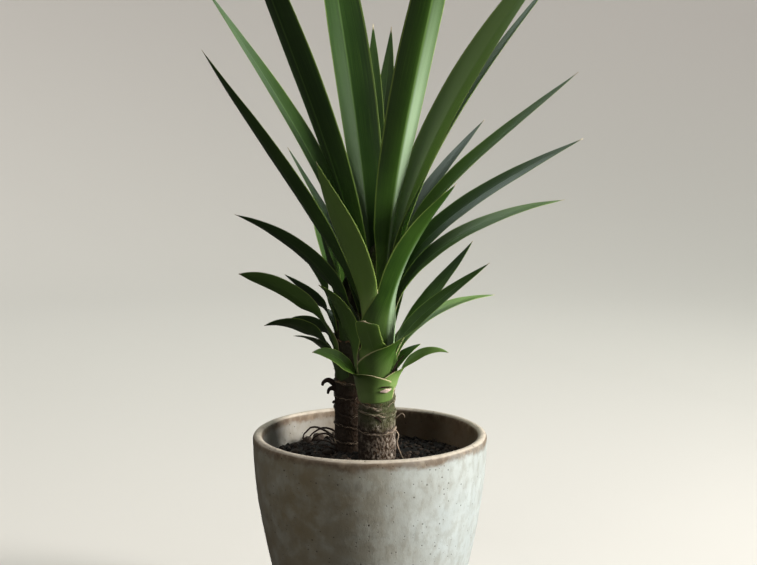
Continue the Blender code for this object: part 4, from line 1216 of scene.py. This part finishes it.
def add_scar_fibres(lines, stem, count, rng):
    """Frayed fibres that lie round a cane at its ring scars, with their ends lifted."""
    for i, scar in enumerate(stem.scars):
        for _ in range(count):
            angle = rng.uniform(0, math.tau)
            run = rng.choice((-1, 1)) * rng.uniform(2.0, 10.0) / stem.cane_radius
            slope, lift, droop = rng.uniform(-2.0, 2.5), rng.uniform(0.1, 1.4), rng.uniform(-0.6, 0.6)
            line = []
            for u in np.linspace(0, 1, 8):
                a = angle + run * u
                z = scar_height(scar, i, a) + droop + slope * u + 0.4 * math.sin(9 * u + angle)
                line.append(off_cane(stem, a, z, 0.75 + lift * u**3))
            lines.add(line, rng.uniform(0.1, 0.22), 0.06)


def add_seat_scraps(lines, stem, leaves, count, rng):
    """Dry scraps of old sheaths, round the cane under each leaf."""
    for name, leaf in leaves.items():
        sheath = SHEATHS.get(name, PLAIN_SHEATH)
        foot = leaf.seat + sheath.lift - sheath.run
        for _ in range(count):
            angle = math.radians(leaf.heading + rng.uniform(-leaf.clasp, leaf.clasp) * 1.1)
            run = rng.choice((-1, 1)) * rng.uniform(2.0, 6.0) / stem.crown_radius
            rise, lift = rng.uniform(-0.6, 2.2), rng.uniform(0.2, 1.6)
            line = []
            for u in np.linspace(0, 1, 7):
                z = foot - 0.7 + rise * u + 0.3 * math.sin(7 * u + angle)
                line.append(off_cane(stem, angle + run * u, z, 0.5 + lift * u * u))
            facing = (math.cos(angle), math.sin(angle), 0.0)
            lines.add(line, rng.uniform(0.3, 0.7), 0.1, facing)


def bowl_mesh(material):
    """Floor and backdrop in one: a wide plain floor that curves up into a wall all round."""
    profile = [(r, 0.0) for r in (100, 300, 800, 1200)]
    profile += arc((1600, 2000), 2000, -90, 0, 32) + [(3600, 2400), (3600, 4200)]
    steps = 96
    points = [(0.0, 0.0, 0.0)]
    for radius, height in profile:
        points += [(radius * x, radius * y, height) for x, y in circle(steps)]
    faces = [(0, 1 + j, 1 + (j + 1) % steps) for j in range(steps)]
    for i in range(len(profile) - 1):
        low, high = 1 + i * steps, 1 + (i + 1) * steps
        faces += [(low + j, high + j, high + (j + 1) % steps, low + (j + 1) % steps) for j in range(steps)]
    return new_mesh("studio_floor", points, faces, material=material)


def add_light(name, lamp, power):
    """A round, soft light that the camera doesn't see."""
    light = bpy.data.lights.new(name, "AREA")
    light.shape = "DISK"
    light.size = lamp.size
    light.energy = power
    light.color = lamp.tint
    thing = bpy.data.objects.new(name, light)
    bpy.context.scene.collection.objects.link(thing)
    thing.location = lamp.place
    thing.rotation_euler = (Vector(lamp.aim) - Vector(lamp.place)).to_track_quat("-Z", "Y").to_euler()
    thing.visible_camera = False
    return thing


class YUCCA_OT_pot(bpy.types.Operator):
    """Turns the glazed stoneware pot"""

    bl_idname = "yucca.pot"
    bl_label = "Pot"

    def execute(self, context):
        look = context.scene.yucca_pot
        settle(add_piece("glazed_pot", pot_mesh(look, glaze_finish(look))), "glaze", "pot")
        return {"FINISHED"}


class YUCCA_OT_potting_mix(bpy.types.Operator):
    """Fills the pot with crumbly potting mix"""

    bl_idname = "yucca.potting_mix"
    bl_label = "Potting mix"

    def execute(self, context):
        look, pot = context.scene.yucca_mix, context.scene.yucca_pot
        material = mix_finish(look)
        crumb_tree()
        surface = add_piece("mix_surface", mix_mesh(pot, material))
        crumbs = grown(
            "Crumbs", "mix_crumbs", surface.data.copy(), Density=look.crumb_density,
            Smallest=look.crumb_small, Largest=look.crumb_large, Seed=look.seed, Material=material,
        )  # fmt: skip
        settle(surface, "mix", "potting_mix")
        settle(add_piece("mix_clods", clod_mesh(pot, material)), "mix")
        settle(crumbs, "mix")
        return {"FINISHED"}


class YUCCA_OT_canes(bpy.types.Operator):
    """Raises the two canes"""

    bl_idname = "yucca.canes"
    bl_label = "Canes"

    def execute(self, context):
        look = context.scene.yucca_canes
        for side, (green_from, pale) in BARKS.items():
            stem = STEMS[side]
            finish = bark_finish(look, f"bark_{side}", (stem.x * MM, stem.y * MM), pale)
            mesh = cane_mesh(f"bark_cane_{side}", stem, look, green_from, finish)
            settle(add_piece(mesh.name, mesh), "bark", f"cane_{side}")
        return {"FINISHED"}


class YUCCA_OT_leaves(bpy.types.Operator):
    """Grows every leaf of both rosettes"""

    bl_idname = "yucca.leaves"
    bl_label = "Leaves"

    def execute(self, context):
        look = context.scene.yucca_leaves
        leaf_tree()
        material = leaf_finish(look)
        for side, leaves in LEAVES.items():
            for seed, (name, leaf) in enumerate(leaves.items()):
                add_leaf(name, leaf, STEMS[side], look, material, seed)
        return {"FINISHED"}


class YUCCA_OT_fibres(bpy.types.Operator):
    """Adds roots, bark fibres and dry scraps"""

    bl_idname = "yucca.fibres"
    bl_label = "Roots and fibres"

    def execute(self, context):
        look = context.scene.yucca_fibres
        rng = random.Random(look.seed)
        noise.seed_set(look.seed)  # without it roots stray another way on each run
        strand_tree()
        root = strand_finish("wiry_root", look.root, (1.0, 1.0, 0.4))
        fibre = strand_finish("bark_fibre", look.fibre, (1.0, 1.0, 0.4))
        scrap = strand_finish("dry_scrap", look.scrap, (1.0, 1.0, 0.3))
        mark = strand_finish("healed_scar", look.mark, (0.4, 0.4, 1.0))
        roots, flaps, fibres, scraps, marks, gaps = (Lines() for _ in range(6))
        for points, start, end in ROOTS:
            roots.add(straying(points), start, end)
        for lines, table, facing in (
            (flaps, FLAPS, FLAP_FACING),
            (fibres, ROOTLETS, LOOSE_FACING),
            (marks, MARKS, MARK_FACING),
            (gaps, GAPS, MARK_FACING),
        ):
            for points, start, end in table:
                lines.add(flowing(points), start, end, facing)
        for side, stem in STEMS.items():
            add_scar_fibres(fibres, stem, look.per_scar, rng)
            add_seat_scraps(scraps, stem, LEAVES[side], look.scraps, rng)
        settle(roots.grow("wiry_roots", root, 8), "bark")
        settle(flaps.grow("dried_remnants", root, 14, 0.3), "bark")
        settle(marks.grow("healed_scars", mark, 14, 0.25), "bark")
        settle(gaps.grow("bark_gaps", root, 10, 0.3), "bark")
        settle(fibres.grow("bark_fibres", fibre, 5), "bark")
        settle(scraps.grow("dry_scraps", scrap, 8, 0.2), "bark")
        return {"FINISHED"}


class YUCCA_OT_stage(bpy.types.Operator):
    """Sets the floor, the lights and the camera"""

    bl_idname = "yucca.stage"
    bl_label = "Stage"

    def execute(self, context):
        look = context.scene.yucca_stage
        material, _ = new_finish("studio_paper", look.floor, Roughness=0.9, Base_Color=look.floor)
        floor = add_piece("studio_floor", bowl_mesh(material))
        floor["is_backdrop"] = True
        floor.visible_diffuse = floor.visible_glossy = False
        for name, share in (("key", 1.0 - look.gloss), ("key_gloss", look.gloss)):
            key = add_light(name, KEY, look.key * share)
            key.data.spread = math.radians(KEY_SPREAD)
            key.visible_glossy = name == "key_gloss"
        add_light("fill", FILL, look.fill)
        add_light("back_right", BACK_RIGHT, look.back)
        add_light("back_left", BACK_LEFT, look.back * BACK_LEFT_SHARE)
        for j in range(BACKDROP_LIGHTS):
            a = math.tau * (j + 0.5) / BACKDROP_LIGHTS
            x, y = math.cos(a), math.sin(a)
            glow = Lamp((1.6 * x, 1.6 * y, 2.6), (3.4 * x, 3.4 * y, 0.9), 1.0, (1.0, 0.98, 0.95))
            add_light(f"glow_{j}", glow, look.glow)
        world = bpy.data.worlds.new("studio")
        world.use_nodes = True
        world.node_tree.nodes["Background"].inputs["Color"].default_value = SKY_TINT
        world.node_tree.nodes["Background"].inputs["Strength"].default_value = look.sky
        context.scene.world = world
        context.scene.view_settings.view_transform = "Standard"
        data = bpy.data.cameras.new("view")
        data.lens, data.sensor_width = LENS, SENSOR
        camera = bpy.data.objects.new("view", data)
        context.scene.collection.objects.link(camera)
        camera.location = CAMERA_PLACE
        camera.rotation_euler = (math.radians(90 - CAMERA_DIP), 0.0, 0.0)
        context.scene.camera = camera
        return {"FINISHED"}


class VIEW3D_PT_yucca(bpy.types.Panel):
    """Lists the steps and what each can change"""

    bl_label = "Potted Yucca"
    bl_space_type = "VIEW_3D"
    bl_region_type = "UI"
    bl_category = "Yucca"

    def draw(self, context):
        for step, key, _ in STEPS:
            box = self.layout.box()
            box.operator(step.bl_idname)
            settings = getattr(context.scene, key)
            for name in settings.__annotations__:
                box.prop(settings, name)


STEPS = (
    (YUCCA_OT_pot, "yucca_pot", PotSettings),
    (YUCCA_OT_potting_mix, "yucca_mix", MixSettings),
    (YUCCA_OT_canes, "yucca_canes", CaneSettings),
    (YUCCA_OT_leaves, "yucca_leaves", LeafSettings),
    (YUCCA_OT_fibres, "yucca_fibres", FibreSettings),
    (YUCCA_OT_stage, "yucca_stage", StageSettings),
)


def register():
    for step, key, settings in STEPS:
        bpy.utils.register_class(settings)
        bpy.utils.register_class(step)
        setattr(bpy.types.Scene, key, PointerProperty(type=settings))
    bpy.utils.register_class(VIEW3D_PT_yucca)


def unregister():
    bpy.utils.unregister_class(VIEW3D_PT_yucca)
    for step, key, settings in reversed(STEPS):
        delattr(bpy.types.Scene, key)
        bpy.utils.unregister_class(step)
        bpy.utils.unregister_class(settings)


def main():
    register()
    for group in (cloud_group, streak_group, speck_group):
        group()
    bpy.ops.yucca.pot()
    bpy.ops.yucca.potting_mix()
    bpy.ops.yucca.canes()
    bpy.ops.yucca.leaves()
    bpy.ops.yucca.fibres()
    bpy.ops.yucca.stage()
    boxes = {"cad": CAD_BOX, "visual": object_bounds()}
    {name: [list(corner) for corner in box] for name, box in boxes.items()}


if __name__ == "__main__":
    main()
